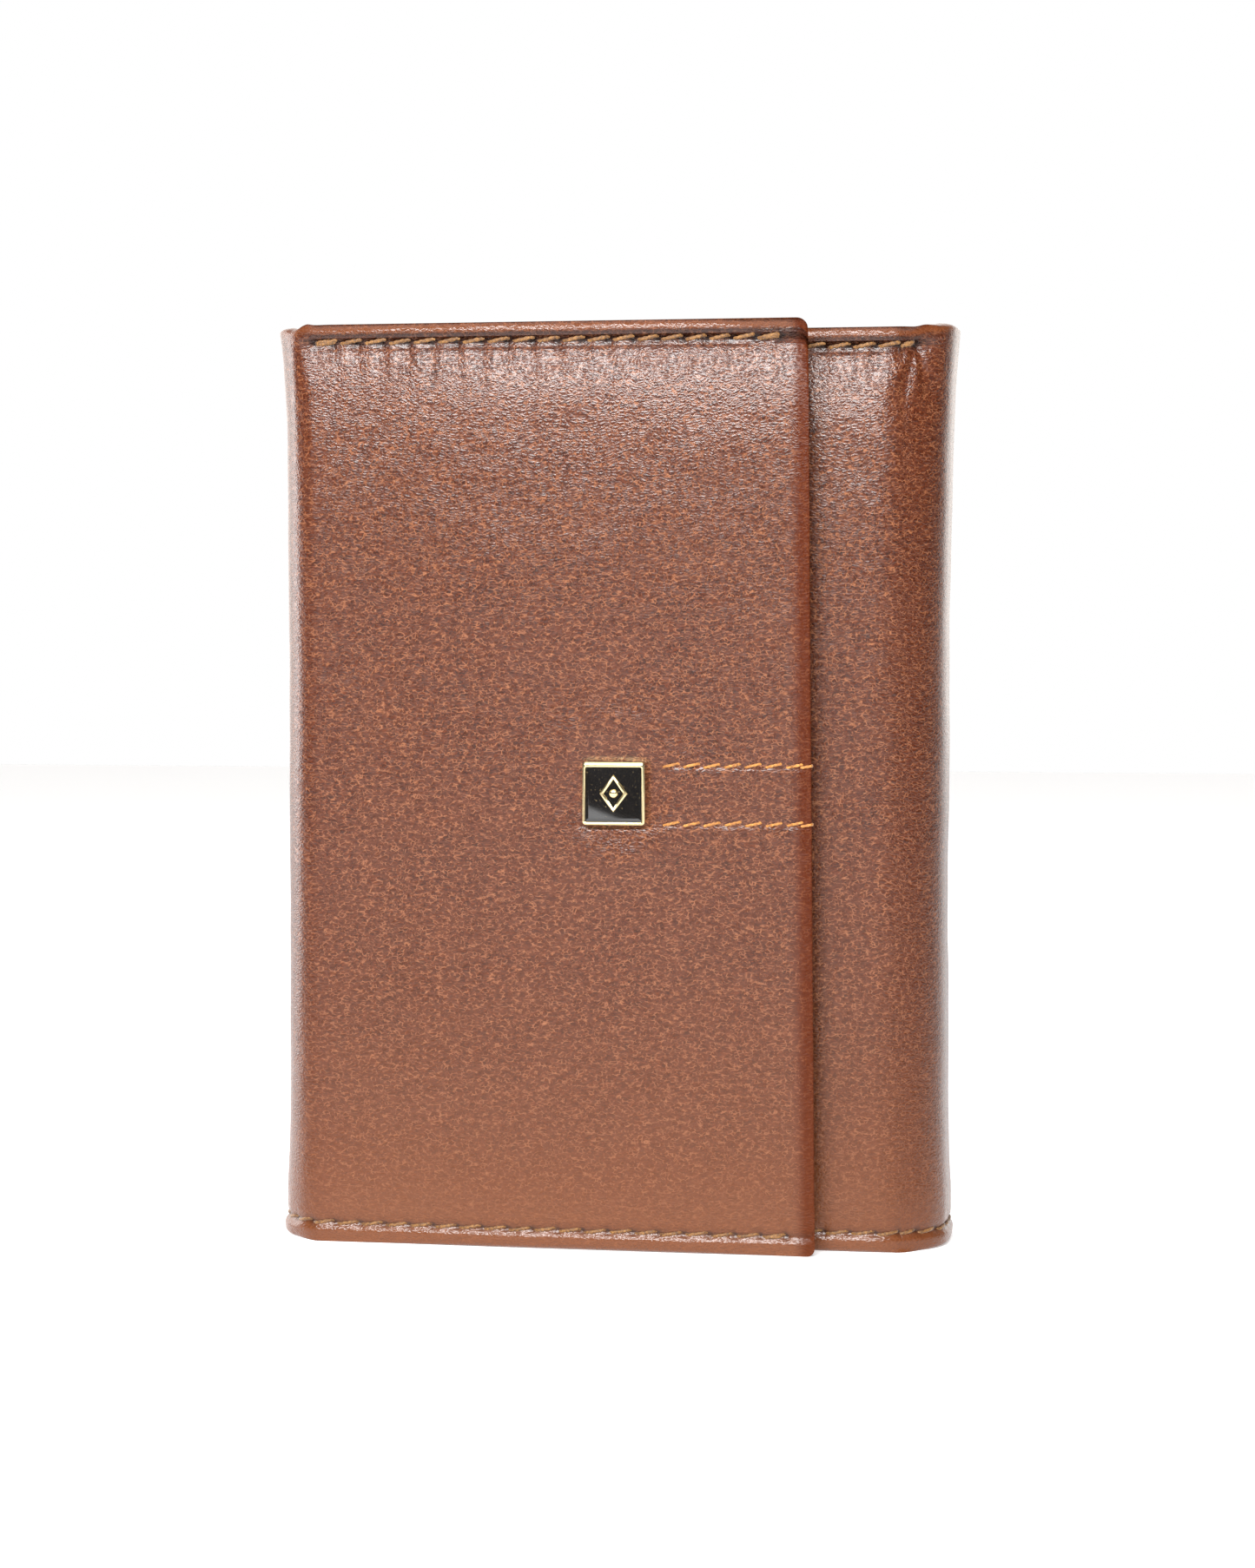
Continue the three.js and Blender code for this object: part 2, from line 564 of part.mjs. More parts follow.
function buildSlider() {
  const left = sliderX - SLIDER_LENGTH / 2;
  const right = sliderX + SLIDER_LENGTH / 2;
  const plate = toSolid(plateGeometry([
    [left, chainDepth - SLIDER_NOSE_HALF], [left, chainDepth + SLIDER_NOSE_HALF],
    [sliderX, chainDepth + SLIDER_HALF_WIDTH], [right, chainDepth + SLIDER_HALF_WIDTH],
    [right, chainDepth - SLIDER_HALF_WIDTH], [sliderX, chainDepth - SLIDER_HALF_WIDTH],
  ], sliderBottom, SLIDER_PLATE));
  const lipBottom = tapeBottom + TAPE + GAP;
  const lips = [-1, 1].map((side) => {
    const edges = [chainDepth + side * SLIDER_HALF_WIDTH,
      chainDepth + side * (SLIDER_HALF_WIDTH - SLIDER_LIP)].sort((a, b) => a - b);
    return boxSolid(sliderX, right, edges[0], edges[1], lipBottom, sliderTop);
  });
  const half = CROWN_THICKNESS / 2;
  const eyeBottom = sliderTop + GAP;
  const eyeTop = eyeBottom + CROWN_EYE_HEIGHT;
  const crown = boxSolid(sliderX - CROWN_HALF_LENGTH, sliderX + CROWN_HALF_LENGTH,
    chainDepth - half, chainDepth + half, sliderTop - SLIDER_PLATE / 2, eyeTop + CROWN_BAR);
  const eye = boxSolid(sliderX - CROWN_EYE_HALF, sliderX + CROWN_EYE_HALF,
    chainDepth - CROWN_THICKNESS, chainDepth + CROWN_THICKNESS, eyeBottom, eyeTop);
  const solid = plate.add(lips[0]).add(lips[1]).add(crown).subtract(eye);
  addMesh('zip_slider', toGeometry(solid), brass);
}

function buildPuller() {
  const armOut = CROWN_THICKNESS / 2 + GAP + PULLER_ARM;
  const armIn = CROWN_THICKNESS / 2 + GAP;
  const neck = sliderX - PULLER_EYE;
  const shoulder = neck - 2;
  const endX = sliderX - PULLER_LENGTH;
  const shape = new THREE.Shape();
  const plan = (depthOffset) => yAt(chainDepth + depthOffset);
  shape.moveTo(sliderX + PULLER_BAR / 2, plan(-armOut));
  shape.lineTo(neck, plan(-armOut));
  shape.lineTo(shoulder, plan(-PULLER_HALF_WIDTH));
  shape.lineTo(endX + PULLER_HALF_WIDTH, plan(-PULLER_HALF_WIDTH));
  shape.quadraticCurveTo(endX, plan(-PULLER_HALF_WIDTH), endX, plan(0));
  shape.quadraticCurveTo(endX, plan(PULLER_HALF_WIDTH), endX + PULLER_HALF_WIDTH, plan(PULLER_HALF_WIDTH));
  shape.lineTo(shoulder, plan(PULLER_HALF_WIDTH));
  shape.lineTo(neck, plan(armOut));
  shape.lineTo(sliderX + PULLER_BAR / 2, plan(armOut));
  const eye = new THREE.Path();
  eye.moveTo(sliderX - PULLER_BAR / 2, plan(-armIn));
  eye.lineTo(sliderX - PULLER_BAR / 2, plan(armIn));
  eye.lineTo(neck, plan(armIn));
  eye.lineTo(neck, plan(-armIn));
  shape.holes.push(eye);
  const geometry = new THREE.ExtrudeGeometry(shape,
    { depth: PULLER_THICKNESS, bevelEnabled: false, curveSegments: 8 });
  addMesh('zip_puller', geometry, brass, { z: pullerAxisZ - PULLER_THICKNESS / 2 });
}

// ---- Leaves inside the two flaps ----
function buildFlapLeaves() {
  const slipRight = stackHalf - SLIP_CLEARANCE;
  SLIP_TOPS.forEach((top, i) => {
    const name = `inner_slip_${i + 1}`;
    const leaf = roundedOutline(SLIP_LEFT, slipRight, HEM, top, LEAF_CORNER);
    addSheet(name, leaf, depthOf[name], leafLeather);
  });

  const left = OUTER_LEAF_SIDE - flatHalf;
  const right = outerFreeEdge - OUTER_LEAF_INSET;
  const pocket = roundedOutline(left, right, HEM, OUTER_POCKET_TOP, LEAF_CORNER);
  addSheet('outer_slip_pocket', pocket, depthOf.outer_leaf, leafLeather);

  const frame = roundedOutline(left, right, WINDOW_BOTTOM, WINDOW_TOP, SHEET_CORNER);
  frame.holes.push(roundedOutline(left + WINDOW_BORDER, right - WINDOW_BORDER,
    WINDOW_BOTTOM + WINDOW_BORDER, WINDOW_TOP - WINDOW_BORDER, SHEET_CORNER));
  addSheet('window_frame', frame, depthOf.outer_leaf, leafLeather);
  const lap = WINDOW_BORDER - FILM_LAP;
  const pane = roundedOutline(left + lap, right - lap, WINDOW_BOTTOM + lap,
    WINDOW_TOP - lap, SHEET_CORNER);
  const filmRear = depthOf.outer_leaf.front + GAP;
  addSheet('window_film', pane, { rear: filmRear, front: filmRear + FILM }, film);
}

// ---- Magnetic closure ----
const cupRear = depthOf.outer_leaf.rear - CUP_PROUD;
const cupFront = depthOf.outer_flap_lining.rear - GAP;
const cupBore = MAGNET_RADIUS + GAP;
const cupRadius = cupBore + CUP_WALL;

function buildClosure() {
  const tab = roundedOutline(TAB_LEFT, outerFreeEdge - TAB_EDGE_INSET,
    CLOSURE_Z - TAB_HALF_HEIGHT, CLOSURE_Z + TAB_HALF_HEIGHT, SHEET_CORNER);
  tab.holes.push(circleOutline(CLOSURE_X, CLOSURE_Z, cupRadius + GAP));
  addSheet('closure_tab', tab, depthOf.outer_leaf, leafLeather);

  const magnetFront = cupRear + MAGNET_THICKNESS;
  const bore = discSolid(cupBore, cupRear - GAP, magnetFront + GAP);
  addMesh('magnet_cup', toGeometry(discSolid(cupRadius, cupRear, cupFront).subtract(bore)), steel);
  addMesh('closure_magnet', toGeometry(discSolid(MAGNET_RADIUS, cupRear, magnetFront)), steel);

  const skin = depthOf.inner_flap_leather;
  const pad = depthOf.inner_flap_padding;
  const stem = discSolid(KEEPER_STEM_RADIUS, pad.rear, skin.rear + GAP);
  const keeper = discSolid(KEEPER_RADIUS, skin.rear, skin.front).add(stem);
  addMesh('keeper_disc', toGeometry(keeper), steel);
  const washerRear = (pad.rear + pad.front - KEEPER_WASHER) / 2;
  const washer = circleOutline(CLOSURE_X, CLOSURE_Z, KEEPER_WASHER_RADIUS);
  washer.holes.push(circleOutline(CLOSURE_X, CLOSURE_Z, KEEPER_STEM_RADIUS + GAP));
  addSheet('keeper_washer', washer, { rear: washerRear, front: washerRear + KEEPER_WASHER }, steel);
}

// ---- Emblem: a stamped plate with a relief, an enamel field round it, and a washer behind ----
function prongSolids(rear, front, clearance) {
  return [-1, 1].map((side) => {
    const x = CLOSURE_X + side * PRONG_SPACING / 2;
    const half = PRONG / 2 + clearance;
    return boxSolid(x - half, x + half, rear, front, CLOSURE_Z - half, CLOSURE_Z + half);
  });
}

function squareOutline(inset) {
  const half = EMBLEM_HALF - inset;
  return roundedOutline(CLOSURE_X - half, CLOSURE_X + half, CLOSURE_Z - half, CLOSURE_Z + half,
    EMBLEM_CORNER);
}

function lozengeOutline(grow) {
  const shape = new THREE.Shape();
  const w = RELIEF_HALF_WIDTH + grow;
  const h = RELIEF_HALF_HEIGHT + grow;
  shape.moveTo(CLOSURE_X, CLOSURE_Z - h);
  shape.lineTo(CLOSURE_X + w, CLOSURE_Z);
  shape.lineTo(CLOSURE_X, CLOSURE_Z + h);
  shape.lineTo(CLOSURE_X - w, CLOSURE_Z);
  return shape;
}

function buildEmblem() {
  const rear = depthOf.outer_flap_leather.front + GAP;
  const floor = rear + EMBLEM_BASE;
  const front = floor + EMBLEM_RISE;
  const pad = depthOf.outer_flap_padding;
  const field = toSolid(sheetGeometry(squareOutline(EMBLEM_RIM), floor, front + GAP));
  const relief = toSolid(sheetGeometry(lozengeOutline(0), floor - EMBLEM_BASE / 2, front));
  const prongs = prongSolids(pad.rear + PRONG / 4, floor - EMBLEM_BASE / 2, 0);
  const plate = toSolid(sheetGeometry(squareOutline(0), rear, front)).subtract(field)
    .add(relief).add(prongs[0]).add(prongs[1]);
  addMesh('emblem_plate', toGeometry(plate), gold);

  const enamelRear = floor + GAP;
  const fieldOutline = squareOutline(EMBLEM_RIM + GAP);
  fieldOutline.holes.push(lozengeOutline(2 * GAP));
  addSheet('emblem_enamel', fieldOutline, { rear: enamelRear, front: enamelRear + ENAMEL }, enamel);

  const washerRear = (pad.rear + pad.front - EMBLEM_WASHER) / 2;
  const washerFront = washerRear + EMBLEM_WASHER;
  const washer = cutAll(discSolid(EMBLEM_WASHER_RADIUS, washerRear, washerFront),
    prongSolids(washerRear - GAP, washerFront + GAP, GAP));
  addMesh('emblem_washer', toGeometry(washer), steel);
}

// ---- Build ----
buildBackLeather();
buildSpine('left_spine', -1, outerMid);
buildSpine('right_spine', 1, innerMid);
buildOuterFlapLeather();
buildInnerFlapLeather();
buildPanelCores();
buildCentre();
buildTapes();
buildChain();
buildSlider();
buildPuller();
buildFlapLeaves();
buildClosure();
buildEmblem();

export default wallet;
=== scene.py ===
import json
import math
import random

import bmesh
import bpy
import numpy as np
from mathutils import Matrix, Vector

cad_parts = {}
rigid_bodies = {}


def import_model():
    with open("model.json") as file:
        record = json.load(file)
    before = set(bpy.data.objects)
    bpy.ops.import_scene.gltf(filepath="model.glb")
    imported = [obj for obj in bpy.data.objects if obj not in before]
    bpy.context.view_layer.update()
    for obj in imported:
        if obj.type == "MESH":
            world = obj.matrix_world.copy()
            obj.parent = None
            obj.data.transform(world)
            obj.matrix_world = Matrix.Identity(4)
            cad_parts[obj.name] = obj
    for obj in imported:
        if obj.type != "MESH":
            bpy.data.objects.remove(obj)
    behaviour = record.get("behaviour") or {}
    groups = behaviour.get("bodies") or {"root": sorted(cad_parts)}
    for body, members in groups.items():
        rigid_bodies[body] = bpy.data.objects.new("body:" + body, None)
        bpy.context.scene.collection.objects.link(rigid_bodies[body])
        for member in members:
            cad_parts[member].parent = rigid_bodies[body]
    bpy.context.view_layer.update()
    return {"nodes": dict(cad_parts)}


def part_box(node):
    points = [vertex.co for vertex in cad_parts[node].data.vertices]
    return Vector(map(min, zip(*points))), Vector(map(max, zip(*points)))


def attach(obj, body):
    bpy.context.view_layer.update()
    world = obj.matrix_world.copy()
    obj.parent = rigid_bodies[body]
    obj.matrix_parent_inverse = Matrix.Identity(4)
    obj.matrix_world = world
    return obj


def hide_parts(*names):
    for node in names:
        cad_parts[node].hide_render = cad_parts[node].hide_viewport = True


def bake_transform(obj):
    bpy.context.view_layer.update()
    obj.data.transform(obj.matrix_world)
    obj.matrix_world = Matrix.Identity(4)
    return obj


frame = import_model()

# ------------ sizes, in millimetres
MM = 0.001
LEATHER = 1.0                 # outer leather
FOLD_X, FOLD_Y = 5.5, 11.0    # each fold is a quarter ellipse on the leather's mid line
PANEL_THICKNESS = 2.5         # leather and padding
SPINE_THICKNESS = 1.2
LINING = 0.5
LEAST_WALL = 0.4              # the least a padded panel is squeezed to
SEAM_DROP = 2.45              # seam below a top edge
SEAM_RISE = 2.75              # seam above a bottom edge
SEAM_END = 4.0                # from the bottom seam's ends to the leather's ends
SEAM_PITCH = 3.6
TAB_PITCH = 3.15
TAB_SEAM_HALF = 4.05          # from the emblem's middle up and down to the tab's seams
TAB_SEAM_SHIFT = -0.17        # the tab's seams lie a little low
TAB_SEAM_LEFT = 8.8
FREE_LEAN = 1.3               # how far the free edge leans in at the top
LEAN_REACH = 30.0             # how far in from the free edge the lean is felt
FREE_TOP_RADIUS = 1.6
FREE_BOTTOM_RADIUS = 1.2
TIP_RADIUS = 4.0              # corners of the inner flap's hidden end


def node_box(name):
    low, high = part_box(name)
    return np.array(low) / MM, np.array(high) / MM


outer_low, outer_high = node_box("outer_flap_leather")
inner_low, _ = node_box("inner_flap_leather")
_, back_high = node_box("back_leather")
_, right_high = node_box("right_spine_leather")
plate_low, plate_high = node_box("emblem_plate")
OUTER_MID = outer_low[1] + LEATHER / 2
INNER_MID = inner_low[1] + LEATHER / 2
BACK_MID = back_high[1] - LEATHER / 2
MID_X = right_high[0] - LEATHER / 2
FLAT_X = MID_X - FOLD_X
FREE_X = outer_high[0]
TIP_X = inner_low[0]
BODY_TOP = back_high[2]
FLAP_TOP = outer_high[2]
EMBLEM_X = (plate_low[0] + plate_high[0]) / 2
EMBLEM_Z = (plate_low[2] + plate_high[2]) / 2
EMBLEM_HALF = (plate_high[0] - plate_low[0]) / 2
TAB_SEAMS = (EMBLEM_Z + TAB_SEAM_HALF + TAB_SEAM_SHIFT, EMBLEM_Z - TAB_SEAM_HALF + TAB_SEAM_SHIFT)


# ------------ the leather's path in plan
# It starts at the outer flap's free edge and runs left, round the left spine, along the
# back, round the right spine and in to the inner flap's tip. u is the length along it.
def straight(x0, y0, x1, y1, normal, step=0.25):
    count = max(2, int(math.hypot(x1 - x0, y1 - y0) / step))
    t = np.linspace(0, 1, count)
    ones = np.ones(count)
    return np.stack([x0 + (x1 - x0) * t, y0 + (y1 - y0) * t, normal[0] * ones, normal[1] * ones], 1)


def corner(side, face, mid_y, from_angle, to_angle):
    """side +1 right, -1 left; face -1 front, +1 rear; angle 0 at the panel, 90 degrees at the spine."""
    a = np.radians(np.linspace(from_angle, to_angle, 90))
    x = side * (MID_X - FOLD_X * (1 - np.sin(a)))
    y = mid_y - face * FOLD_Y * (1 - np.cos(a))
    nx = side * np.sin(a) / FOLD_X
    ny = face * np.cos(a) / FOLD_Y
    size = np.hypot(nx, ny)
    return np.stack([x, y, nx / size, ny / size], 1)


SEGMENTS = [
    straight(FREE_X, OUTER_MID, -FLAT_X, OUTER_MID, (0, -1)),
    corner(-1, -1, OUTER_MID, 0, 90),
    straight(-MID_X, OUTER_MID + FOLD_Y, -MID_X, BACK_MID - FOLD_Y, (-1, 0)),
    corner(-1, 1, BACK_MID, 90, 0),
    straight(-FLAT_X, BACK_MID, FLAT_X, BACK_MID, (0, 1)),
    corner(1, 1, BACK_MID, 0, 90),
    straight(MID_X, BACK_MID - FOLD_Y, MID_X, INNER_MID + FOLD_Y, (1, 0)),
    corner(1, -1, INNER_MID, 90, 0),
    straight(FLAT_X, INNER_MID, TIP_X, INNER_MID, (0, -1)),
]
PATH = np.concatenate(SEGMENTS)
PATH_U = np.concatenate([[0], np.cumsum(np.hypot(*np.diff(PATH[:, :2], axis=0).T))])
SEGMENT_ENDS = np.cumsum([len(s) for s in SEGMENTS]) - 1
(U_LEFT_FRONT, U_LEFT_A, U_LEFT_B, U_LEFT_REAR,
 U_RIGHT_REAR, U_RIGHT_A, U_RIGHT_B, U_RIGHT_FRONT, U_TIP) = PATH_U[SEGMENT_ENDS]
U_LEFT_MID = (U_LEFT_A + U_LEFT_B) / 2
U_RIGHT_MID = (U_RIGHT_A + U_RIGHT_B) / 2
U_BACK_MID = (U_LEFT_REAR + U_RIGHT_REAR) / 2


def path_at(u):
    x, y, nx, ny = (np.interp(u, PATH_U, PATH[:, k]) for k in range(4))
    size = np.hypot(nx, ny)
    return x, y, nx / size, ny / size


def outer_u(x):
    """Developed length of a point of the outer flap at x."""
    return FREE_X - x


def inner_u(x):
    return U_TIP - (x - TIP_X)


# ------------ small maths
def smooth(x, low, high):
    t = np.clip((x - low) / (high - low), 0, 1)
    return t * t * (3 - 2 * t)


def hump(x, centre, width):
    return np.exp(-((x - centre) / width) ** 2)


def band(x, low, high, soft):
    return smooth(x, low - soft, low + soft) * (1 - smooth(x, high - soft, high + soft))


def nose(x):
    t = 1 - np.clip(x, 0, 1)
    return 1 - np.sqrt(np.maximum(0, 1 - t * t))


rng = np.random.default_rng(7)
WAVES = rng.uniform(0, 2 * math.pi, (12, 4))
GATHER = rng.uniform(0.45, 1.0, 400)
GATHER_PHASE = rng.uniform(-0.35, 0.35, 400)


def slow_noise(u, z, scale):
    """A soft random field from -1 to 1 with features about scale wide."""
    total = np.zeros(np.broadcast(u, z).shape)
    for k in range(6):
        ku = math.cos(WAVES[k, 0]) * 2 * math.pi / scale
        kz = math.sin(WAVES[k, 0]) * 2 * math.pi / scale
        total = total + np.sin(u * ku + z * kz + WAVES[k, 1])
    return total / 6


def per_stitch(table, u, pitch):
    """A table value for each stitch, blended between neighbours."""
    index = u / pitch
    low = np.floor(index).astype(int)
    share = smooth(index - low, 0, 1)
    return table[low % len(table)] * (1 - share) + table[(low + 1) % len(table)] * share


# ------------ outline and thickness
CORNER_BUMP = 0.45            # the rim swells where a top seam ends at a fold
LEFT_SPINE_RISE, RIGHT_SPINE_RISE = 1.0, 0.95
FLAP_LIFT = 0.04              # the outer flap hangs a little clear of the floor
EDGE_SOFT = 2.5               # how gently the outline changes from panel to spine


def tip_drop(u):
    return TIP_RADIUS * nose((U_TIP - u) / TIP_RADIUS)


def top_edge(u):
    """Height of the top edge."""
    rise = (FLAP_TOP - BODY_TOP) * (1 - smooth(u, U_LEFT_FRONT - 2, U_LEFT_FRONT + 9))
    bumps = CORNER_BUMP * (hump(u, U_LEFT_FRONT + 2.2, 1.5) + hump(u, U_RIGHT_FRONT - 5.6, 1.7))
    left = LEFT_SPINE_RISE * band(u, U_LEFT_FRONT + 5.5, U_LEFT_REAR - 8, EDGE_SOFT)
    right = RIGHT_SPINE_RISE * band(u, U_RIGHT_REAR + 8, U_RIGHT_FRONT - 7.5, EDGE_SOFT)
    drop = FREE_TOP_RADIUS * nose(u / FREE_TOP_RADIUS)
    return BODY_TOP + rise + bumps + left + right - drop - tip_drop(u)


def bottom_edge(u):
    """Height of the bottom edge."""
    lift = FLAP_LIFT * band(u, 8, U_LEFT_FRONT - 10, 8)
    drop = FREE_BOTTOM_RADIUS * nose(u / FREE_BOTTOM_RADIUS)
    return lift + drop + tip_drop(u)


def thickness(u):
    left = band(u, U_LEFT_FRONT + 6, U_LEFT_REAR + 4, 3)
    right = band(u, U_RIGHT_REAR - 4, U_RIGHT_FRONT - 6, 3)
    return PANEL_THICKNESS + (SPINE_THICKNESS - PANEL_THICKNESS) * (left + right)


def top_seam_mask(u):
    """1 where the top edge is sewn: on the panels, not on the spines."""
    outer = 1 - smooth(u, U_LEFT_FRONT - 0.5, U_LEFT_FRONT + 4)
    back = band(u, U_LEFT_REAR + 1, U_RIGHT_REAR - 1, EDGE_SOFT)
    inner = smooth(u, U_RIGHT_FRONT - 8, U_RIGHT_FRONT - 3.2)
    return outer + back + inner


TOP_SEAMS = {
    "outer": (SEAM_END, U_LEFT_FRONT + 0.4),
    "back": (U_LEFT_REAR + 1.5, U_RIGHT_REAR - 1.5),
    "inner": (U_RIGHT_FRONT - 3.9, U_TIP - 5),
}
BOTTOM_SEAM = (SEAM_END, U_TIP - SEAM_END)


# ------------ relief of the outer face
# Depths and widths are in millimetres, and a distance is measured from the nearest edge.
PUFF_REACH = 8.0              # the padding rises over this length from a top seam
TOP_SINK = 1.3                # depth of the leather at a top seam and above it
CREASE_AT = 1.62              # the pressed line between the rim and a top seam
RIM_LEAN, RIM_DEPTH = 0.27, 1.5    # the rim leans back, so that it catches the light
BOTTOM_SINK, BOTTOM_BEAD = 0.28, 0.2
HOLE_DEPTH, BOTTOM_HOLE_DEPTH = 0.34, 0.26
HOLE_RADIUS = 0.5
GATHER_REACH, BOTTOM_GATHER_REACH = 3.4, 2.0
BOTTOM_GATHER_SHARE = 0.45
TACK_DEPTH = 0.42             # the folds that fan from the end of the inner flap's seam
FLAP_SINK = 0.95              # the outer flap's face sinks towards its fold
FREE_SINK, FREE_REACH = 0.95, 24.0  # and falls back towards its free edge
FOLD_SEAM_EASE = 0.45         # how much of a seam's depth the folds take away
TAB_VALLEY, TAB_RIDGE = 0.22, 0.05
DISH_DEPTH, DISH_RADIUS = 0.38, 7.4
SEAT_DEPTH, SEAT_REACH = 0.16, 5.3
SWELL_RISE, SWELL_RADIUS = 0.16, 9.5
PANEL_RIM, SPINE_RIM, FREE_RIM, TIP_RIM = 1.0, 0.62, 2.3, 1.2    # how far the edges are rounded
SLOW_WAVE, QUICK_WAVE = (0.16, 34), (0.05, 11)    # height and length of the hand-made unevenness


def puff_fall(distance):
    """How far the padded face still falls towards a seam: 1 at the seam, 0 in the middle."""
    return np.exp(-np.clip(distance - SEAM_DROP, 0, None) / PUFF_REACH)


def top_seam_relief(distance):
    """Profile across a top seam: rim, crease, stitch valley, puffed face."""
    crease = -0.26 * hump(distance, CREASE_AT, 0.2)
    valley = -0.45 * hump(distance, SEAM_DROP + 0.1, 0.62)
    lean = -RIM_LEAN * np.clip(RIM_DEPTH - distance, 0, None)
    return -TOP_SINK * puff_fall(distance) + crease + valley + lean


def bottom_seam_relief(distance):
    """Profile across the bottom seam: bead under the stitches, stitch valley, face."""
    bead = -BOTTOM_SINK * (1 - smooth(distance, 2.9, 8)) + BOTTOM_BEAD * hump(distance, 1.6, 0.7)
    valley = -0.4 * hump(distance, SEAM_RISE + 0.05, 0.55)
    return bead + valley


def gathers(u, distance, start, reach):
    """Ridges between the stitches, fading away from the seam."""
    phase = (u - start) / SEAM_PITCH
    size = per_stitch(GATHER, u, SEAM_PITCH)
    lean = per_stitch(GATHER_PHASE, u, SEAM_PITCH)
    away = np.clip(distance - SEAM_DROP, 0, None)
    fade = np.exp(-away / reach) * smooth(distance, SEAM_DROP - 0.3, SEAM_DROP + 0.9)
    wide = -np.cos(2 * math.pi * (phase + lean * away * 0.06))
    fine = np.sin(2 * math.pi * (phase * 2.7 + lean * 2 + away * 0.05))
    finer = np.sin(2 * math.pi * (phase * 5.3 - lean * 3 + away * 0.08))
    return fade * size * (0.2 * wide + 0.06 * fine + 0.035 * finer)


def holes(u, distance, start, end, drop, depth):
    """Dimples where the thread goes through, deeper at each end of the seam."""
    phase = (u - start) / SEAM_PITCH
    nearest = np.abs(phase - np.round(phase)) * SEAM_PITCH
    within = band(u, start - 0.3, end + 0.3, 0.4)
    last = 0.5 * (hump(u, start, HOLE_RADIUS) + hump(u, end, HOLE_RADIUS)) * hump(distance, drop, 0.6)
    return -depth * (within * hump(nearest, 0, HOLE_RADIUS) * hump(distance, drop, 0.45) + last)


def top_holes(u, distance):
    return sum(holes(u, distance, start, end, SEAM_DROP, HOLE_DEPTH) for start, end in TOP_SEAMS.values())


def bottom_holes(u, distance):
    return holes(u, distance, *BOTTOM_SEAM, SEAM_RISE, BOTTOM_HOLE_DEPTH)


def tack_wrinkles(u, z):
    """Folds that fan down from the end of the inner flap's top seam."""
    du = u - (TOP_SEAMS["inner"][0] + 0.6)
    dz = (BODY_TOP - SEAM_DROP - 0.6) - z
    reach = np.hypot(du, dz) + 1e-6
    angle = np.arctan2(du, dz)
    fan = smooth(reach, 0.4, 1.8) * np.exp(-np.clip(reach - 2.5, 0, None) / 4.5) * (dz > -0.5)
    return TACK_DEPTH * fan * np.cos(angle * 7.5 + 0.4) * hump(angle, 0.15, 0.85)


def sink(u):
    """How far the outer flap's face sinks towards its fold."""
    before = smooth(u, 44, U_LEFT_FRONT - 1)
    return FLAP_SINK * before * (1 - smooth(u, U_LEFT_FRONT + 2, U_LEFT_FRONT + 14))


def even_round(before=5.0, after=10.0):
    """Depths past the panel's end that turn the tight start of the right fold into an even round."""
    past = np.linspace(-before, after, 240)
    _, _, nx, ny = path_at(U_RIGHT_FRONT - past)
    turned = np.arctan2(nx, -ny)
    wanted = turned[-1] * (past + before) / (before + after)
    slope = np.tan(wanted - turned)
    depth = np.concatenate([[0], np.cumsum((slope[1:] + slope[:-1]) / 2 * np.diff(past))])
    return past, depth - depth[-1] * smooth(past, -before, after)


FOLD_CUT = even_round()


def fold_cut(u):
    """How far the inner flap's face is cut back where it rolls into the right fold."""
    return np.interp(U_RIGHT_FRONT - u, *FOLD_CUT)


def spine_flare(u, below_top, above_bottom):
    """The spines flare at the top and the bottom."""
    left = band(u, U_LEFT_FRONT + 6, U_LEFT_REAR - 6, 5)
    right = band(u, U_RIGHT_REAR + 6, U_RIGHT_FRONT - 6, 5)
    left_flare = 0.25 + 1.3 * np.exp(-below_top / 8) + 1.35 * np.exp(-above_bottom / 10)
    right_flare = 0.1 + 1.4 * np.exp(-below_top / 16) + 1.1 * np.exp(-above_bottom / 12)
    return left * left_flare + right * right_flare


def tab_relief(x, z):
    """The tab's two rows of stitches press a broken valley with a faint ridge under it."""
    along = smooth(x, TAB_SEAM_LEFT - 1.2, TAB_SEAM_LEFT + 0.5)
    phase = outer_u(x) / TAB_PITCH
    pull = 0.3 + 0.7 * np.clip(np.cos(2 * math.pi * phase), 0, 1)
    total = 0.0
    for seam_z in TAB_SEAMS:
        ridge = TAB_RIDGE * hump(z, seam_z - 1.2, 0.5) * np.cos(2 * math.pi * (phase + 0.45))
        total = total + along * (ridge - TAB_VALLEY * pull * hump(z, seam_z - 0.05, 0.42))
    return total


def emblem_dish(x, z):
    """The leather dips under the emblem and swells a little round it."""
    square_away = np.maximum(np.abs(x - EMBLEM_X), np.abs(z - EMBLEM_Z))
    away = np.hypot(x - EMBLEM_X, z - EMBLEM_Z)
    dish = DISH_DEPTH * np.exp(-(away / DISH_RADIUS) ** 4)
    seat = SEAT_DEPTH * (1 - smooth(square_away, SEAT_REACH - 1, SEAT_REACH))
    return SWELL_RISE * hump(away, SWELL_RADIUS, 2.6) - dish - seat


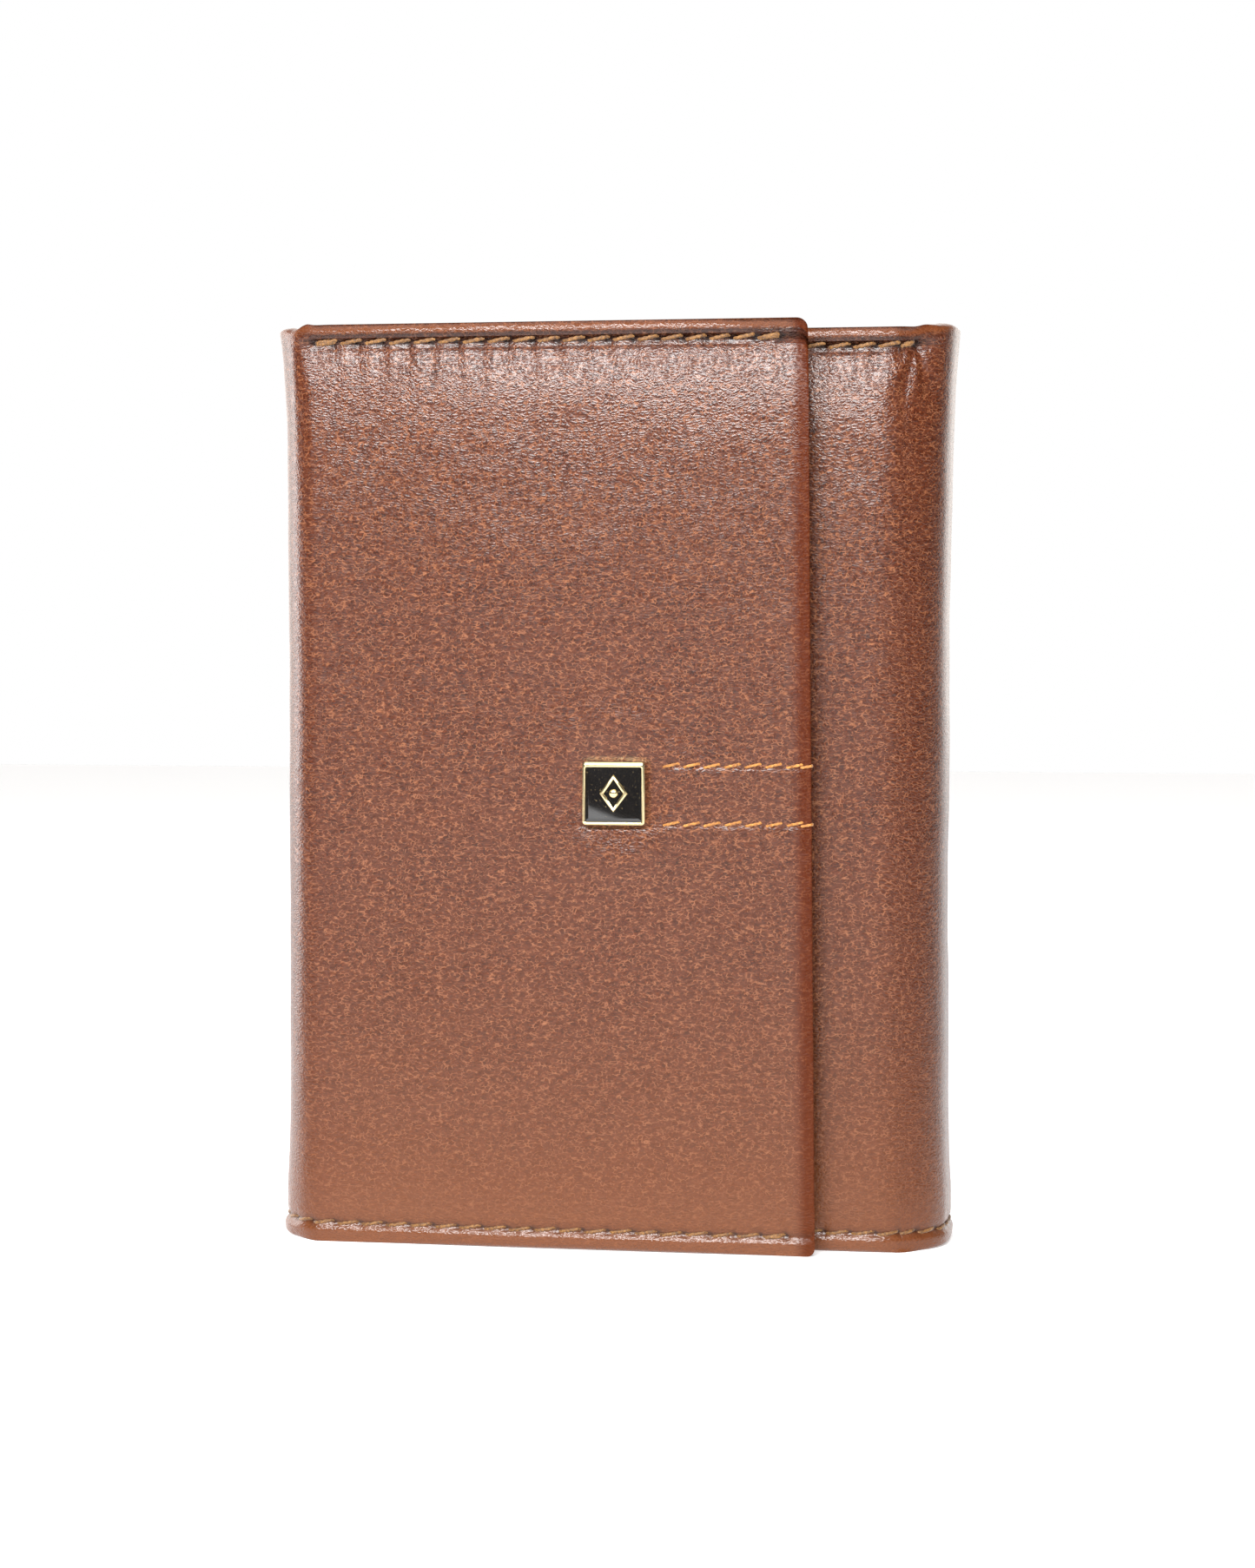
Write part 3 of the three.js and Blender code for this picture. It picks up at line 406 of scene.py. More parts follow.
def outer_relief(u, z):
    """Height of the leather's face over its nominal surface."""
    below_top = top_edge(u) - z
    above_bottom = z - bottom_edge(u)
    middle = smooth(below_top, 0, 22) * smooth(above_bottom, 0, 16)
    ease = 1 - FOLD_SEAM_EASE * np.clip(sink(u) + fold_cut(u), 0, 1)
    relief = top_seam_mask(u) * ease * top_seam_relief(below_top) + bottom_seam_relief(above_bottom)
    relief = relief - FREE_SINK * (1 - smooth(u, 0, FREE_REACH)) ** 1.5 - fold_cut(u)
    relief = relief + spine_flare(u, below_top, above_bottom)
    for start, end in TOP_SEAMS.values():
        relief = relief + band(u, start, end, 1.2) * gathers(u, below_top, start, GATHER_REACH)
    relief = relief + BOTTOM_GATHER_SHARE * gathers(u, above_bottom, SEAM_END, BOTTOM_GATHER_REACH)
    relief = relief + top_holes(u, below_top) + bottom_holes(u, above_bottom) + tack_wrinkles(u, z)
    x = FREE_X - u
    relief = relief + (u < U_LEFT_FRONT) * (tab_relief(x, z) + emblem_dish(x, z))
    slow = SLOW_WAVE[0] * middle * slow_noise(u, z, SLOW_WAVE[1])
    return relief + slow + QUICK_WAVE[0] * slow_noise(u + 40, z, QUICK_WAVE[1])


def free_lean(u, z):
    """How far the outer flap's free edge leans to the left, most at its top."""
    return FREE_LEAN * np.clip(z / FLAP_TOP, 0, 1) * (1 - smooth(u, 0, LEAN_REACH))


def nose_share(u, z):
    """How far a point has rolled over an edge: 0 on the faces, 1 on the rim's crest."""
    rim = np.where(thickness(u) > 2, PANEL_RIM, SPINE_RIM)
    flat = 1.0
    for share in (nose((top_edge(u) - z) / rim), nose((z - bottom_edge(u)) / rim),
                  nose(u / FREE_RIM), nose((U_TIP - u) / TIP_RIM)):
        flat = flat * (1 - share)
    return 1 - flat


def skin_point(u, z, lift=0.0):
    """Points on the outer face, in millimetres, lifted off it by lift."""
    x, y, nx, ny = path_at(u)
    mid = -thickness(u) / 2
    face = 1 - nose_share(u, z)
    sunk = sink(u)
    relief = np.maximum(outer_relief(u, z), sunk + LEAST_WALL - thickness(u))
    rise = LEATHER / 2 + mid + (relief - mid) * face + lift
    return np.stack([x + nx * rise, y + ny * rise + sunk * face, z], -1)


def inner_point(u, z):
    """Points on the skin's hidden face, in millimetres. It meets the outer face at the rims."""
    x, y, nx, ny = path_at(u)
    t = thickness(u)
    rise = LEATHER / 2 - t / 2 - (t / 2) * (1 - nose_share(u, z))
    return np.stack([x + nx * rise, y + ny * rise, z], -1)


# ------------ meshes
def new_object(name, mesh):
    obj = bpy.data.objects.new(name, mesh)
    bpy.context.scene.collection.objects.link(obj)
    return obj


def mesh_from(name, verts_mm, faces, smooth_shade=True):
    mesh = bpy.data.meshes.new(name)
    mesh.from_pydata([tuple(v) for v in (np.asarray(verts_mm) * MM)], [], faces)
    mesh.update()
    if smooth_shade:
        mesh.polygons.foreach_set("use_smooth", [True] * len(mesh.polygons))
    return new_object(name, mesh)


def add_value(obj, name, values):
    attribute = obj.data.attributes.new(name, "FLOAT", "POINT")
    attribute.data.foreach_set("value", np.asarray(values, np.float32).ravel())


def add_uv(obj, uv_by_vertex):
    layer = obj.data.uv_layers.new(name="developed")
    loops = np.zeros(len(obj.data.loops), np.int32)
    obj.data.loops.foreach_get("vertex_index", loops)
    layer.data.foreach_set("uv", uv_by_vertex[loops].astype(np.float32).ravel())


def grid_faces(rows, cols, offset=0, flip=False):
    faces = []
    for r in range(rows - 1):
        for c in range(cols - 1):
            a = offset + r * cols + c
            quad = (a, a + 1, a + cols + 1, a + cols)
            faces.append(quad[::-1] if flip else quad)
    return faces


def shell_faces(rows, cols, sides, ends):
    """Two facing grids of points, joined along the columns and the rows named."""
    total = rows * cols
    faces = grid_faces(rows, cols) + grid_faces(rows, cols, total, True)
    for c in sides:
        for r in range(rows - 1):
            a, b = r * cols + c, (r + 1) * cols + c
            faces.append((a, b, b + total, a + total))
    for r in ends:
        for c in range(cols - 1):
            a = r * cols + c
            faces.append((a, a + 1, a + 1 + total, a + total))
    return faces


def tube_faces(rings, size, base=0, closed=(True, True)):
    """Faces of a tube made of rings of points, with its first and last end closed or open."""
    faces = []
    for r in range(rings - 1):
        for k in range(size):
            a, b = base + r * size + k, base + r * size + (k + 1) % size
            faces.append((a, b, b + size, a + size))
    last = base + (rings - 1) * size
    if closed[0]:
        faces.append(tuple(range(base, base + size))[::-1])
    if closed[1]:
        faces.append(tuple(range(last, last + size)))
    return faces


def drop_doubles(obj, distance=1e-9):
    bm = bmesh.new()
    bm.from_mesh(obj.data)
    bmesh.ops.remove_doubles(bm, verts=bm.verts, dist=distance)
    bmesh.ops.recalc_face_normals(bm, faces=bm.faces)
    bm.to_mesh(obj.data)
    bm.free()


# In degrees: an edge sharper than this is shaded as an edge.
SKIN_SHARP, LINING_SHARP, EMBLEM_SHARP, METAL_SHARP = 75, 60, 50, 30


def sharpen(obj, degrees):
    obj.data.set_sharp_from_angle(angle=math.radians(degrees))


def edge_steps(reach, fine, coarse):
    """Steps away from an edge that start fine and grow to coarse."""
    values, step = [0.0], fine * 0.35
    while values[-1] + step < reach:
        values.append(values[-1] + step)
        step = min(coarse, step * 1.12 if values[-1] > 3.6 else max(step * 1.15, min(fine, step * 1.3)))
    return np.array(values)


def row_heights():
    """Nominal heights of a panel's rows, fine at the seams, the tab and the emblem."""
    bottom = edge_steps(12, 0.26, 1.1)
    top = BODY_TOP - edge_steps(14, 0.26, 1.1)[::-1]
    tab = np.arange(EMBLEM_Z - 7, EMBLEM_Z + 7, 0.32)
    below = np.arange(bottom[-1] + 1.1, tab[0] - 0.4, 1.15)
    above = np.arange(tab[-1] + 0.8, top[0] - 0.4, 1.15)
    return np.concatenate([bottom, below, tab, above, top])


ROWS = row_heights()


def columns(u0, u1, step, free_start=False, free_end=False):
    inner = np.linspace(u0, u1, int((u1 - u0) / step) + 1)
    if free_start:
        edge = edge_steps(3.2, 0.3, step)
        inner = np.concatenate([u0 + edge, inner[inner > u0 + edge[-1] + step * 0.5]])
    if free_end:
        edge = u1 - edge_steps(2.4, 0.3, step)[::-1]
        inner = np.concatenate([inner[inner < edge[0] - step * 0.5], edge])
    return inner


def build_skin(name, u0, u1, step, free_start=False, free_end=False):
    """A closed shell of leather between two developed lengths."""
    cols = columns(u0, u1, step, free_start, free_end)
    u, nominal = np.meshgrid(cols, ROWS)
    share = nominal / BODY_TOP
    z = nominal + bottom_edge(u) * (1 - share) + (top_edge(u) - BODY_TOP) * share
    lean = free_lean(u, z) if free_start else 0.0
    outside = skin_point(u, z)
    inside = inner_point(u, z)
    outside[..., 0] -= lean
    inside[..., 0] -= lean
    rows, count = u.shape
    sides = [c for c, free in ((0, free_start), (count - 1, free_end)) if not free]
    verts = np.concatenate([outside.reshape(-1, 3), inside.reshape(-1, 3)])
    obj = mesh_from(name, verts, shell_faces(rows, count, sides, ()))
    add_uv(obj, np.concatenate([np.stack([u, z], -1).reshape(-1, 2)] * 2) * MM)
    for label, field in skin_fields(u, z).items():
        add_value(obj, label, np.concatenate([field.ravel(), field.ravel()]))
    drop_doubles(obj, 1e-7)
    sharpen(obj, SKIN_SHARP)
    return obj


def skin_fields(u, z):
    """What the leather's material reads: where it gathers and swells, and where light and shade are painted.
    Painted shade goes in creases, in stitch holes and under the stitches, and on the folds, the top rim and
    the free edge. Painted light goes towards the bottom and on the rim's crest.
    """
    below, above = top_edge(u) - z, z - bottom_edge(u)
    sewn = top_seam_mask(u)
    gather = np.exp(-np.clip(below - 2, 0, None) / 7.0) * smooth(below, 2.2, 3.4) * sewn
    # painted shade in the crease under the rim and along the top and bottom seams, then in the stitch holes
    dark = 1.1 * sewn * (hump(below, CREASE_AT, 0.24) + 0.75 * hump(below, SEAM_DROP, 0.42))
    dark = dark + 0.35 * hump(above, SEAM_RISE, 0.32)
    for start, end in TOP_SEAMS.values():
        scallop = 0.5 - 0.5 * np.cos(2 * math.pi * (u - start) / SEAM_PITCH)
        # painted shadow in scallops under the top stitches
        dark = dark + 0.5 * band(u, start, end, 0.6) * (1 - scallop) * hump(below, SEAM_DROP + 0.75, 0.36)
    dark = dark - 3.0 * top_holes(u, below) - 2.4 * bottom_holes(u, above)
    # painted shade on the folds, the top rim and the free edge; the same field also takes coat off there
    folds = (hump(u, U_LEFT_FRONT + 3.5, 5.5) + hump(u, U_RIGHT_FRONT - 3.5, 4.5)
             + hump(u, U_LEFT_REAR - 4, 4) + hump(u, U_RIGHT_REAR + 4, 4))
    rim = 1 - smooth(below, 0.2, 1.6)
    free = 1 - smooth(u, 1.0, 3.4)
    # a painted highlight along the top rim's crest, weaker at the free edge
    crest = 0.9 * hump(below, 0.65, 0.55) * (1 - 0.7 * free)
    return {
        "gather": gather,
        "dark": np.clip(dark, 0, 1),
        "fold": np.clip(0.32 * folds + 0.25 * rim + free, 0, 1),
        "puff": -puff_fall(below) * sewn * smooth(below, 1.8, 3.2),
        # painted light: painted bounce light towards the bottom, with the crest's painted highlight
        "pale": np.clip(np.exp(-above / 22.0) + crest, 0, 1),
    }


# ------------ stitches
SEAM_THREAD, BOTTOM_THREAD, TAB_THREAD = 0.27, 0.24, 0.2     # radii
SEAM_SLANT, BOTTOM_SLANT, TAB_SLANT = 0.34, 0.27, 0.3        # half the rise of one stitch
THREAD_DIVE = 0.42            # how deep a stitch's ends lie in their holes
TAB_SEAM_START = 0.9          # from the free edge to a tab seam's first stitch
WRAP_REACH = 1.5              # from the free edge to the holes of the stitch that goes round it


def strand(points, radius, sides=8, twist=5.0, flat=0.8):
    """A two-ply thread along points, with its ends closed. Returns verts and faces."""
    points = np.asarray(points, float)
    tangents = np.gradient(points, axis=0)
    tangents /= np.linalg.norm(tangents, axis=1, keepdims=True)
    verts = []
    count = len(points)
    for i, (p, t) in enumerate(zip(points, tangents)):
        side = np.cross(t, (0.0, 0.0, 1.0) if abs(t[2]) < 0.9 else (1.0, 0.0, 0.0))
        side /= np.linalg.norm(side)
        up = np.cross(side, t)
        taper = 1.0 if 0 < i < count - 1 else 0.45
        for k in range(sides):
            a = 2 * math.pi * k / sides
            ply = 1 + 0.17 * math.cos(2 * a - twist * 2 * math.pi * i / (count - 1))
            r = radius * ply * taper
            verts.append(p + side * math.cos(a) * r * flat + up * math.sin(a) * r)
    return verts, tube_faces(count, sides)


def join_pieces(name, pieces, smooth_shade=True):
    verts, faces = [], []
    for piece_verts, piece_faces in pieces:
        base = len(verts)
        verts.extend(piece_verts)
        faces.extend(tuple(i + base for i in face) for face in piece_faces)
    return mesh_from(name, verts, faces, smooth_shade)


def skin_stitch(u0, u1, z0, z1, radius, lean=False):
    """One stitch on the leather between two holes."""
    t = np.linspace(0, 1, 15)
    u = u0 + (u1 - u0) * t
    z = z0 + (z1 - z0) * (0.5 - 0.5 * np.cos(math.pi * t) * (1 - 0.35 * np.sin(math.pi * t)))
    arch = np.sin(math.pi * np.clip(t, 0, 1)) ** 0.45
    points = skin_point(u, z, -THREAD_DIVE + (THREAD_DIVE + radius * 0.62) * arch)
    if lean:
        points[:, 0] -= free_lean(u, z)
    return strand(points, radius, twist=4.0)


def seam_row(start, end, height, radius, slant, pitch=SEAM_PITCH, seed=1, tacks=True):
    """Stitches from start to end. height(u) gives their line. The right end of each is the higher."""
    dice = random.Random(seed)
    leans = start < 10
    found = []
    count = int(round((end - start) / pitch))
    real = (end - start) / count
    for i in range(count):
        u0, u1 = start + i * real, start + (i + 1) * real
        mid = height((u0 + u1) / 2) + dice.uniform(-0.06, 0.06)
        stitch = skin_stitch(u0 + real * 0.02, u1 - real * 0.04, mid + slant, mid - slant, radius, leans)
        found.append(((u0 + u1) / 2, stitch))
    if tacks:
        for u_end, inward in ((start, 1), (end, -1)):
            for k, shift in enumerate((0.1, -0.16)):
                mid = height(u_end) + shift
                low, high = sorted((u_end + inward * 0.1 * k, u_end + inward * real * (0.72 + 0.2 * k)))
                stitch = skin_stitch(low, high, mid + slant * 0.5, mid - slant * 0.5, radius * 0.95, leans)
                found.append(((low + high) / 2, stitch))
    return found


def build_stitches(name, found, u0, u1):
    strands = [s for u, s in found if u0 <= u < u1]
    return join_pieces(name, strands) if strands else None


# ------------ materials
class Nodes:
    """A small helper to write the node tree of a material or a world."""

    def __init__(self, owner):
        owner.use_nodes = True
        self.owner = owner
        self.tree = owner.node_tree
        self.shader = self.tree.nodes.get("Principled BSDF")

    def add(self, kind, **settings):
        node = self.tree.nodes.new(kind)
        for key, value in settings.items():
            setattr(node, key, value)
        return node

    def link(self, out, into):
        self.tree.links.new(out, into)

    def feed(self, socket, value):
        """Link an output to the socket, or set the socket to a number or a colour."""
        if hasattr(value, "is_output"):
            self.link(value, socket)
        elif isinstance(value, tuple) and socket.type == "RGBA":
            socket.default_value = (*value, 1)
        else:
            socket.default_value = value

    def put(self, node, **values):
        for key, value in values.items():
            self.feed(node.inputs[key.replace("_", " ")], value)
        return node

    def math(self, operation, a, b=0.0, clamp=False):
        node = self.add("ShaderNodeMath", operation=operation, use_clamp=clamp)
        self.feed(node.inputs[0], a)
        self.feed(node.inputs[1], b)
        return node.outputs[0]

    def times(self, a, b, clamp=False):
        return self.math("MULTIPLY", a, b, clamp)

    def plus(self, a, b):
        return self.math("ADD", a, b)

    def ramp(self, value, stops):
        node = self.add("ShaderNodeValToRGB")
        elements = node.color_ramp.elements
        while len(elements) < len(stops):
            elements.new(0.5)
        for element, (position, colour) in zip(elements, stops):
            element.position = position
            element.color = (*colour, 1)
        self.link(value, node.inputs[0])
        return node.outputs[0]

    def mix(self, share, a, b, blend="MIX"):
        node = self.add("ShaderNodeMix", data_type="RGBA", blend_type=blend)
        for index, value in ((0, share), (6, a), (7, b)):
            self.feed(node.inputs[index], value)
        return node.outputs[2]

    def constants(self, **values):
        """Plain numbers set on the Principled sockets themselves."""
        for key, value in values.items():
            self.shader.inputs[key.replace("_", " ")].default_value = value

    def noise(self, vector, scale, detail=3.0, roughness=0.55, distortion=0.0):
        node = self.add("ShaderNodeTexNoise")
        self.put(node, Vector=vector, Scale=scale, Detail=detail, Roughness=roughness, Distortion=distortion)
        return node.outputs["Fac"]

    def cells(self, vector, scale, feature="DISTANCE_TO_EDGE", randomness=1.0):
        node = self.add("ShaderNodeTexVoronoi", feature=feature)
        self.put(node, Vector=vector, Scale=scale, Randomness=randomness)
        return node.outputs["Distance"]

    def attribute(self, name):
        return self.add("ShaderNodeAttribute", attribute_name=name).outputs["Fac"]

    def bump(self, height, strength, distance, normal=None):
        node = self.add("ShaderNodeBump")
        self.put(node, Height=height, Strength=strength, Distance=distance)
        if normal is not None:
            self.link(normal, node.inputs["Normal"])
        return node.outputs["Normal"]


def new_material(name):
    return Nodes(bpy.data.materials.new(name))


def srgb(r, g, b):
    def linear(c):
        c /= 255
        return c / 12.92 if c <= 0.04045 else ((c + 0.055) / 1.055) ** 2.4
    return (linear(r), linear(g), linear(b))


PER_METRE = 1000              # the patterns are worked out in millimetres
PORE_COLOURS = (srgb(27, 8, 2), srgb(60, 22, 6), srgb(94, 42, 16))
POCKET_COLOUR = srgb(70, 29, 11)
PATCH_COLOUR = srgb(78, 37, 19)
# Painted glints: light lines on the grain, fainter along the large cells' creases.
PAINTED_GLINT_COLOUR = srgb(172, 112, 76)
PAINTED_CREASE_GLINT_COLOUR = srgb(106, 60, 40)
# Painted light: lighter towards the bottom as painted bounce light from the floor, and a painted highlight
# on the top rim's crest.
PAINTED_LIGHT_COLOUR = srgb(114, 65, 35)
# Painted shade on the folds, the top rim and the free edge, darker and warmer.
PAINTED_FOLD_SHADE_COLOUR = srgb(78, 28, 5)
# Painted shade in the crease under the top rim, along the seams, in the stitch holes and under the top
# stitches.
PAINTED_SHADE_COLOUR = srgb(26, 11, 7)
BLACK, GREY, WHITE = (0, 0, 0), (0.4, 0.4, 0.4), (1, 1, 1)
COAT, FOLD_COAT_LOSS = 0.68, 0.55
GRAIN_HEIGHT = 0.0001         # metres, like every bump height below
SWELL_HEIGHT = 0.0014


def surface_vector(n, developed=False, stretch=1.0):
    """Millimetres along the surface, stretched so that the grain lies across."""
    if developed:
        source = n.add("ShaderNodeUVMap", uv_map="developed").outputs["UV"]
        scale = (PER_METRE, PER_METRE * stretch, PER_METRE)
    else:
        source = n.add("ShaderNodeTexCoord").outputs["Object"]
        scale = (PER_METRE, PER_METRE, PER_METRE * stretch)
    return n.put(n.add("ShaderNodeMapping"), Vector=source, Scale=scale).outputs["Vector"]


def bent_vector(n, along, even):
    """The grain wanders, so its pattern is bent by a slow noise."""
    bend = n.put(n.add("ShaderNodeTexNoise"), Vector=even, Scale=0.22, Detail=2.0)
    shift = n.add("ShaderNodeVectorMath", operation="MULTIPLY_ADD")
    for socket, value in zip(shift.inputs, (bend.outputs["Color"], (2.6, 2.6, 2.6), along)):
        n.feed(socket, value)
    return shift.outputs[0]


def leather_colour(n, developed, pores, patches, dashes, small, large):
    """Dark pores, painted glints as light broken lines between the grain's cells, and the painted light and
    shade of the places.
    """
    small_line = n.math("SUBTRACT", 1.0, n.times(small, 4.2, True), True)
    large_line = n.math("SUBTRACT", 1.0, n.times(large, 5.5, True), True)
    line_power = n.math("POWER", small_line, 2.6)
    base = n.ramp(pores, list(zip((0.36, 0.50, 0.64), PORE_COLOURS)))
    if not developed:
        base = n.mix(0.5, base, POCKET_COLOUR)
    base = n.mix(n.ramp(patches, [(0.35, BLACK), (0.65, GREY)]), base, PATCH_COLOUR)
    open_dash = n.ramp(dashes, [(0.44, BLACK), (0.60, WHITE)])
    # painted glints: light broken lines along the small cells' edges
    painted_glint_share = n.times(n.times(line_power, open_dash), 0.7 if developed else 0.35)
    colour = n.mix(painted_glint_share, base, PAINTED_GLINT_COLOUR)
    # fainter painted glints along the large cells' creases
    colour = n.mix(n.times(large_line, 0.3), colour, PAINTED_CREASE_GLINT_COLOUR)
    if developed:
        # painted light: painted bounce light towards the bottom and a painted highlight on the top rim's
        # crest
        colour = n.mix(n.times(n.attribute("pale"), 0.88), colour, PAINTED_LIGHT_COLOUR)
        # painted shade on the folds, the top rim and the free edge
        colour = n.mix(n.times(n.attribute("fold"), 0.7), colour, PAINTED_FOLD_SHADE_COLOUR)
        # painted shade in the crease under the top rim, along the seams, in the stitch holes and under the
        # top stitches
        colour = n.mix(n.attribute("dark"), colour, PAINTED_SHADE_COLOUR)
    return colour


def leather_material(name, developed=True, tone=1.0):
    """Smooth calf leather: fine creased grain with painted glints as light lines, and painted shade, darker
    and warmer, where it is folded.
    """
    n = new_material(name)
    along = surface_vector(n, developed, 1.65)
    even = surface_vector(n, developed)
    bent = bent_vector(n, along, even)
    small = n.cells(bent, 1.45)
    large = n.cells(bent, 0.5)
    dashes = n.noise(along, 1.1, 2.0, 0.5, 0.6)
    pores = n.noise(bent, 3.4, 3.0, 0.6)
    patches = n.noise(even, 0.09, 3.0, 0.6)
    colour = leather_colour(n, developed, pores, patches, dashes, small, large)
    if tone != 1.0:
        colour = n.mix(1.0, colour, (tone, tone, tone), "MULTIPLY")
    height = n.plus(n.times(small, 2.6, True), n.times(pores, 0.6))
    height = n.plus(height, n.times(n.times(large, 3.0, True), 0.6))
    n.constants(Specular_IOR_Level=0.05, Coat_Weight=COAT, Coat_Roughness=0.25)
    swell = None
    if developed:
        creases = n.noise(surface_vector(n, True, 0.16), 1.5, 3.0, 0.6, 0.4)
        height = n.plus(height, n.times(n.times(creases, n.attribute("gather")), 3.6))
        swell = n.bump(n.attribute("puff"), 1.0, SWELL_HEIGHT)
        fold = n.attribute("fold")
        bare = n.times(n.times(fold, fold), FOLD_COAT_LOSS)
        n.link(n.math("SUBTRACT", COAT, bare), n.shader.inputs["Coat Weight"])
    n.put(n.shader, Base_Color=colour, Roughness=n.plus(n.times(pores, 0.14), 0.29),
          Normal=n.bump(height, 0.75, GRAIN_HEIGHT, swell),
          Coat_Normal=n.bump(height, 0.28, GRAIN_HEIGHT, swell))
    return n.owner


def thread_material(name, dark, middle, light):
    n = new_material(name)
    where = surface_vector(n)
    fuzz = n.noise(where, 3.0, 3.0, 0.6)
    n.constants(Sheen_Weight=0.25)
    n.put(n.shader, Base_Color=n.ramp(fuzz, [(0.3, dark), (0.5, middle), (0.72, light)]),
          Normal=n.bump(n.noise(where, 7.0, 2.0), 0.5, 0.00006),
          Roughness=n.plus(n.times(fuzz, 0.2), 0.45))
    return n.owner


def cloth_material(name, dark, light, pitch=0.42):
    """A plain weave."""
    n = new_material(name)
    where = surface_vector(n)
    waves = []
    for direction in ("X", "Z"):
        wave = n.add("ShaderNodeTexWave", wave_type="BANDS", bands_direction=direction)
        n.put(wave, Vector=where, Scale=1.0 / pitch / 3.14, Distortion=0.5, Detail=1.0)
        waves.append(wave.outputs["Fac"])
    weave = n.times(*waves)
    slow = n.noise(where, 0.3, 2.0)
    share = n.plus(n.times(weave, 0.6), n.times(slow, 0.4))
    n.constants(Sheen_Weight=0.3)
    n.put(n.shader, Base_Color=n.ramp(share, [(0.1, dark), (0.8, light)]),
          Normal=n.bump(weave, 0.5, 0.00012), Roughness=n.plus(n.times(slow, 0.15), 0.7))
    return n.owner


def metal_material(name, colour, roughness, scratch=0.25):
    n = new_material(name)
    where = surface_vector(n)
    cloud = n.noise(where, 0.6, 4.0)
    fine = n.noise(where, 6.0, 3.0)
    tint = tuple(c * 0.86 for c in colour)
    n.constants(Metallic=1.0)
    n.put(n.shader, Base_Color=n.mix(cloud, colour, tint),
          Roughness=n.plus(n.times(fine, 0.12), roughness), Normal=n.bump(fine, scratch, 0.00002))
    return n.owner


def enamel_material():
    """Black enamel with a few gold-coloured specks."""
    n = new_material("black_enamel")
    where = surface_vector(n)
    specks = n.noise(where, 4.0, 4.0, 0.7)
    stops = [(0.55, srgb(14, 12, 11)), (0.66, srgb(44, 38, 30)), (0.71, srgb(150, 128, 84))]
    n.constants(Coat_Weight=0.6, Coat_Roughness=0.05)
    n.put(n.shader, Base_Color=n.ramp(specks, stops), Roughness=n.plus(n.times(specks, 0.12), 0.06),
          Normal=n.bump(n.noise(where, 1.2, 2.0), 0.1, 0.00004))
    return n.owner


def film_material():
    n = new_material("clear_film")
    slow = n.noise(surface_vector(n), 0.12, 2.0)
    n.constants(Alpha=0.22)
    n.put(n.shader, Base_Color=n.ramp(slow, [(0.3, (0.86, 0.9, 0.9)), (0.7, (0.95, 0.97, 0.97))]),
          Roughness=n.plus(n.times(slow, 0.08), 0.05), Normal=n.bump(slow, 0.3, 0.0004))
    return n.owner


def set_material(obj, material):
    obj.data.materials.clear()
    obj.data.materials.append(material)


outer_leather = leather_material("outer_leather")
pocket_leather = leather_material("pocket_leather", developed=False, tone=0.94)
thread = thread_material("golden_brown_thread", srgb(70, 42, 15), srgb(116, 76, 30), srgb(156, 110, 54))
tab_thread = thread_material("golden_thread", srgb(120, 72, 20), srgb(176, 112, 40), srgb(214, 152, 74))
lining_cloth = cloth_material("lining_cloth", srgb(58, 38, 28), srgb(104, 74, 55))
zip_cloth = cloth_material("zip_cloth", srgb(46, 30, 22), srgb(84, 58, 43), 0.5)
gold = metal_material("pale_gold", srgb(236, 216, 168), 0.16)
brass = metal_material("antique_brass", srgb(176, 140, 82), 0.28, 0.4)
steel = metal_material("nickel_steel", srgb(190, 188, 184), 0.26, 0.4)
enamel = enamel_material()
film = film_material()


PARTS = {
    "outer": (0.0, U_LEFT_MID), "left": (U_LEFT_MID, U_BACK_MID),
    "right": (U_BACK_MID, U_RIGHT_MID), "inner": (U_RIGHT_MID, U_TIP),
}
SKIN_REPLACES = {
    "outer": ("outer_flap_leather", "outer_flap_padding"),
    "left": ("left_spine_leather",),
    "right": ("back_leather", "back_padding", "right_spine_leather"),
    "inner": ("inner_flap_leather", "inner_flap_padding"),
}


def cross_fold(obj):
    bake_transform(obj)


def make_skins():
    for part, (u0, u1) in PARTS.items():
        step = 0.5 if part in ("outer", "inner") else 0.8
        skin = build_skin(f"leather_{part}", u0, u1, step, part == "outer", part == "inner")
        set_material(skin, outer_leather)
        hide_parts(*SKIN_REPLACES[part])
        cross_fold(skin)


def top_seam_line(u):
    return float(top_edge(u)) - SEAM_DROP


def bottom_seam_line(u):
    return float(bottom_edge(u)) + SEAM_RISE


def make_seams():
    rows = []
    for index, (start, end) in enumerate(TOP_SEAMS.values()):
        rows += seam_row(start, end, top_seam_line, SEAM_THREAD, SEAM_SLANT, seed=index)
    rows += seam_row(*BOTTOM_SEAM, bottom_seam_line, BOTTOM_THREAD, BOTTOM_SLANT, seed=9)
    replaced = {
        "outer": ("outer_flap_top_thread", "outer_flap_bottom_thread", "left_spine_bottom_thread"),
        "left": ("back_top_thread",),
        "right": ("back_bottom_thread", "right_spine_bottom_thread"),
        "inner": ("inner_flap_top_thread", "inner_flap_bottom_thread"),
    }
    for part, (u0, u1) in PARTS.items():
        seam = build_stitches(f"stitches_{part}", rows, u0, u1)
        set_material(seam, thread)
        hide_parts(*replaced[part])
        cross_fold(seam)


